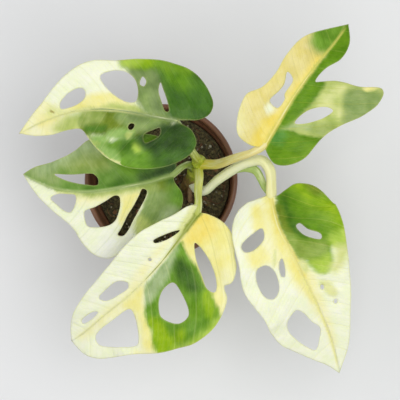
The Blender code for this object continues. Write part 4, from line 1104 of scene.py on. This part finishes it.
def make_soil():
    """The potting mix, crumbly on top."""
    bottom = BASE_THICKNESS + GAP
    low_radius = inner_wall_radius(bottom) - GAP
    shoulder_radius = inner_wall_radius(SHOULDER_HEIGHT) - GAP
    verts, faces = revolve([(0, bottom), (low_radius, bottom), (shoulder_radius, SHOULDER_HEIGHT)]
                           + [(shoulder_radius * (1 - ring / SOIL_RINGS), SOIL_TOP)
                              for ring in range(SOIL_RINGS)]
                           + [(0, SOIL_TOP)], ROUND_SIDES)
    lumpy = []
    for x, y, z in verts:
        if z >= SOIL_TOP:
            edge = min(1.0, (shoulder_radius - math.hypot(x, y)) / 3)
            crumb = noise.noise(Vector((x * 0.9, y * 0.9, 1.0)))
            crumb += 0.6 * noise.noise(Vector((x * 2, y * 2, 5.0)))
            z += (soil_height(x, y) - SOIL_TOP + CRUMB_RELIEF * crumb) * edge
        lumpy.append((x, y, z))
    soil = mesh_piece("soil_mix", lumpy, faces, "soil", "soil")
    soil.data.materials.append(mottled_material("soil_mix", SOIL_PAINT, 900, 0.95, 0.0008, 1400))


def make_lumps(name, rng, count, sizes, flatness, lift, paint, detail):
    """Many small irregular lumps on the soil, as one piece."""
    work = bmesh.new()
    bmesh.ops.create_icosphere(work, subdivisions=detail, radius=1)
    ball = np.array([tuple(v.co) for v in work.verts])
    ball_faces = np.array([[v.index for v in face.verts] for face in work.faces])
    work.free()
    verts, faces, tones = [], [], []
    reach = inner_wall_radius(SHOULDER_HEIGHT) - GAP - 1
    for index in range(count):
        size = rng.uniform(*sizes)
        radius, turn = (reach - size) * math.sqrt(rng.random()), rng.uniform(0, 2 * math.pi)
        x, y = radius * math.cos(turn), radius * math.sin(turn)
        shape = np.array([1, rng.uniform(0.6, 0.95), rng.uniform(*flatness)])
        rough = np.array([1 + 0.35 * noise.noise(Vector(tuple(point * 1.4)) + Vector((index, 0, 0)))
                          for point in ball])
        tilt = Euler((rng.uniform(-0.4, 0.4), rng.uniform(-0.4, 0.4), rng.uniform(0, 6.3))).to_matrix()
        lump = (ball * rough[:, None] * shape * size) @ np.array(tilt).T
        faces.append(ball_faces + index * len(ball))
        verts.append(lump + (x, y, soil_height(x, y) + size * shape[2] * lift))
        tones.append(np.full(len(ball), rng.random()))
    piece = mesh_piece(name, np.vstack(verts), np.vstack(faces), "soil")
    give(piece, "tone", np.concatenate(tones))
    look = Surface(name, roughness=0.9)
    place = look.add("TexCoord", out=3)
    share = look.joined("ADD", (look.read("tone"), 0.7), (look.noise(place, 1200, 4.0, 0.65), 0.5))
    look.paint(look.marbled(look.ramp(share, 0.1, 1.0), paint))
    look.bump(look.noise(place, 2500, 4.0, 0.7), 0.0002)
    piece.data.materials.append(look.material)


def make_fibres(rng):
    """Brown fibres that lie in loose curves on the soil, as one piece."""
    verts, faces, tones = [], [], []
    reach = inner_wall_radius(SHOULDER_HEIGHT) - GAP - 1.5
    start = 0
    for _ in range(FIBRE_COUNT):
        radius, turn = reach * math.sqrt(rng.random()), rng.uniform(0, 2 * math.pi)
        point = np.array((radius * math.cos(turn), radius * math.sin(turn)))
        heading, bend = rng.uniform(0, 6.3), rng.uniform(-0.35, 0.35)
        rise, thickness = rng.uniform(0.1, 1.0), rng.uniform(0.1, 0.2)
        path = []
        for step in range(FIBRE_STEPS):
            heading += bend
            point = point + FIBRE_STEP * np.array((math.cos(heading), math.sin(heading)))
            point *= min(1, reach / np.hypot(*point))
            height = soil_height(*point) + 0.3 + rise * math.sin(math.pi * step / (FIBRE_STEPS - 1))
            path.append((*point, height))
        radii = thickness * np.sin(np.linspace(0.5, math.pi - 0.4, len(path)))
        more, more_faces, _ = tube(path, radii, FIBRE_SIDES)
        verts.append(more)
        faces += [tuple(i + start for i in face) for face in more_faces]
        tones.append(np.full(len(more), rng.random()))
        start += len(more)
    piece = mesh_piece("soil_fibres", np.vstack(verts), faces, "soil")
    give(piece, "tone", np.concatenate(tones))
    look = Surface("soil_fibres", roughness=0.85)
    grain = look.noise(look.add("TexCoord", out=3), 700)
    share = look.joined("ADD", (look.read("tone"), 0.6), (grain, 0.5))
    look.paint(look.marbled(look.ramp(share, 0.1, 1.0), FIBRE_PAINT))
    piece.data.materials.append(look.material)


def make_stem():
    """The vine: ringed at its nodes, yellow-green above, barky near the soil."""
    path = spaced(smooth_curve(STEM_PATH), CURVE_STEP)
    height = path[:, 2]
    radii = np.full(len(path), STEM_RADIUS)
    for node in STEM_NODES:
        radii += NODE_SWELL * np.exp(-((height - node) / NODE_LENGTH) ** 2)
        radii -= SCAR_DEPTH * np.exp(-((height - node - SCAR_HEIGHT) / SCAR_WIDTH) ** 2)
    to_tip = np.clip((height[-1] - height) / BUD_LENGTH, 0, 1)
    radii *= 0.12 + 0.88 * np.sqrt(to_tip)
    to_end = np.clip((height - height[0]) / 4, 0, 1)
    radii *= 0.5 + 0.5 * np.sqrt(to_end)
    verts, faces, skin = tube(path, radii, STEM_SIDES)
    stem = mesh_piece("stem_vine", verts, faces, "stem", "stem")
    give(stem, "skin", skin)
    give(stem, "height", np.repeat(height, STEM_SIDES))
    look = Surface("stem_skin", roughness=0.5, Subsurface_Weight=0.1, Subsurface_Scale=0.001)
    streak = look.noise(look.stretched(look.read_place("skin"), STEM_GRAIN), 1.0, 4.0, 0.6)
    colour = look.marbled(look.ramp(streak, 0.35, 0.65), STEM_PAINT)
    above = look.math("SUBTRACT", look.read("height"), BARK_HEIGHT)
    bark = look.math("SUBTRACT", look.math("MULTIPLY", streak, 14.0), above)
    look.paint(look.mix(look.ramp(bark, 0.0, 6.0), colour, linear(BARK_COLOUR)))
    look.bump(streak, 0.0003, 0.7)
    stem.data.materials.append(look.material)


def make_root():
    """The brown aerial root, a little knobbly and thinner toward its tip."""
    path = spaced(smooth_curve(ROOT_PATH), CURVE_STEP)
    radii = np.linspace(ROOT_RADIUS, ROOT_TIP_RADIUS, len(path))
    ring = np.arange(len(path))
    radii = radii * (1 + 0.08 * np.sin(ring * 0.9) * np.sin(ring * 0.37))
    root = mesh_piece("aerial_root_skin", *tube(path, radii, ROOT_SIDES)[:2], "root", "aerial_root")
    root.data.materials.append(mottled_material("root_skin", ROOT_PAINT, 500, 0.8, 0.0003, 1500))


def make_floor():
    far = FLOOR_REACH
    mesh = bpy.data.meshes.new("floor")
    mesh.from_pydata([(-far, -far, 0), (far, -far, 0), (far, far, 0), (-far, far, 0)], [], [(0, 1, 2, 3)])
    floor = bpy.data.objects.new("floor", mesh)
    bpy.context.scene.collection.objects.link(floor)
    look = Surface("floor", roughness=0.7)
    look.paint(linear(FLOOR_COLOUR))
    mesh.materials.append(look.material)


def make_camera():
    """The photograph's camera, turned straight at AIM_PIXEL."""
    tilt = math.radians(CAMERA_TILT)
    right = Vector((1, 0, 0))
    up = Vector((0, math.cos(tilt), math.sin(tilt)))
    ahead = Vector((0, math.sin(tilt), -math.cos(tilt)))
    across, down = [(at - PHOTO_MIDDLE) / PHOTO_FOCAL for at in AIM_PIXEL]
    back = -(ahead + right * across - up * down).normalized()
    side = up.cross(back).normalized()
    turn = Matrix((side, back.cross(side), back)).transposed()
    camera = bpy.data.objects.new("camera", bpy.data.cameras.new("camera"))
    camera.matrix_world = Matrix.Translation(Vector(CAMERA_PLACE) * MM) @ turn.to_4x4()
    camera.data.sensor_width = SENSOR
    camera.data.lens = SENSOR * PHOTO_FOCAL * ENLARGEMENT / PHOTO_WIDTH
    bpy.context.scene.collection.objects.link(camera)
    bpy.context.scene.camera = camera


def area_light(name, place, power):
    """A round lamp turned to the plant."""
    lamp = bpy.data.lights.new(name, "AREA")
    lamp.shape = "DISK"
    lamp.size = LAMP_SIZE
    lamp.energy = power
    light = bpy.data.objects.new(name, lamp)
    light.location = place
    light.rotation_euler = (Vector(LIGHT_TARGET) - Vector(place)).to_track_quat("-Z", "Y").to_euler()
    bpy.context.scene.collection.objects.link(light)


def make_light():
    world = bpy.data.worlds.new("studio")
    world.use_nodes = True
    background = world.node_tree.nodes["Background"]
    background.inputs["Color"].default_value = (1, 1, 1, 1)
    background.inputs["Strength"].default_value = WORLD_STRENGTH
    bpy.context.scene.world = world
    area_light("key", KEY_PLACE, KEY_POWER)
    area_light("fill", FILL_PLACE, FILL_POWER)
    bpy.context.scene.view_settings.view_transform = "Standard"
    bpy.context.scene.view_settings.look = "None"


def main():
    make_camera()
    make_light()
    make_floor()
    make_pot()
    make_soil()
    rng = random.Random(LITTER_SEED)
    for name, kind in LITTER.items():
        make_lumps(name, rng, *kind)
    make_fibres(rng)
    make_stem()
    make_root()
    for shift, (name, leaf) in zip(NOISE_SHIFTS, LEAVES.items()):
        make_blade(name, leaf, shift)
        make_stalk(name, leaf)


main()
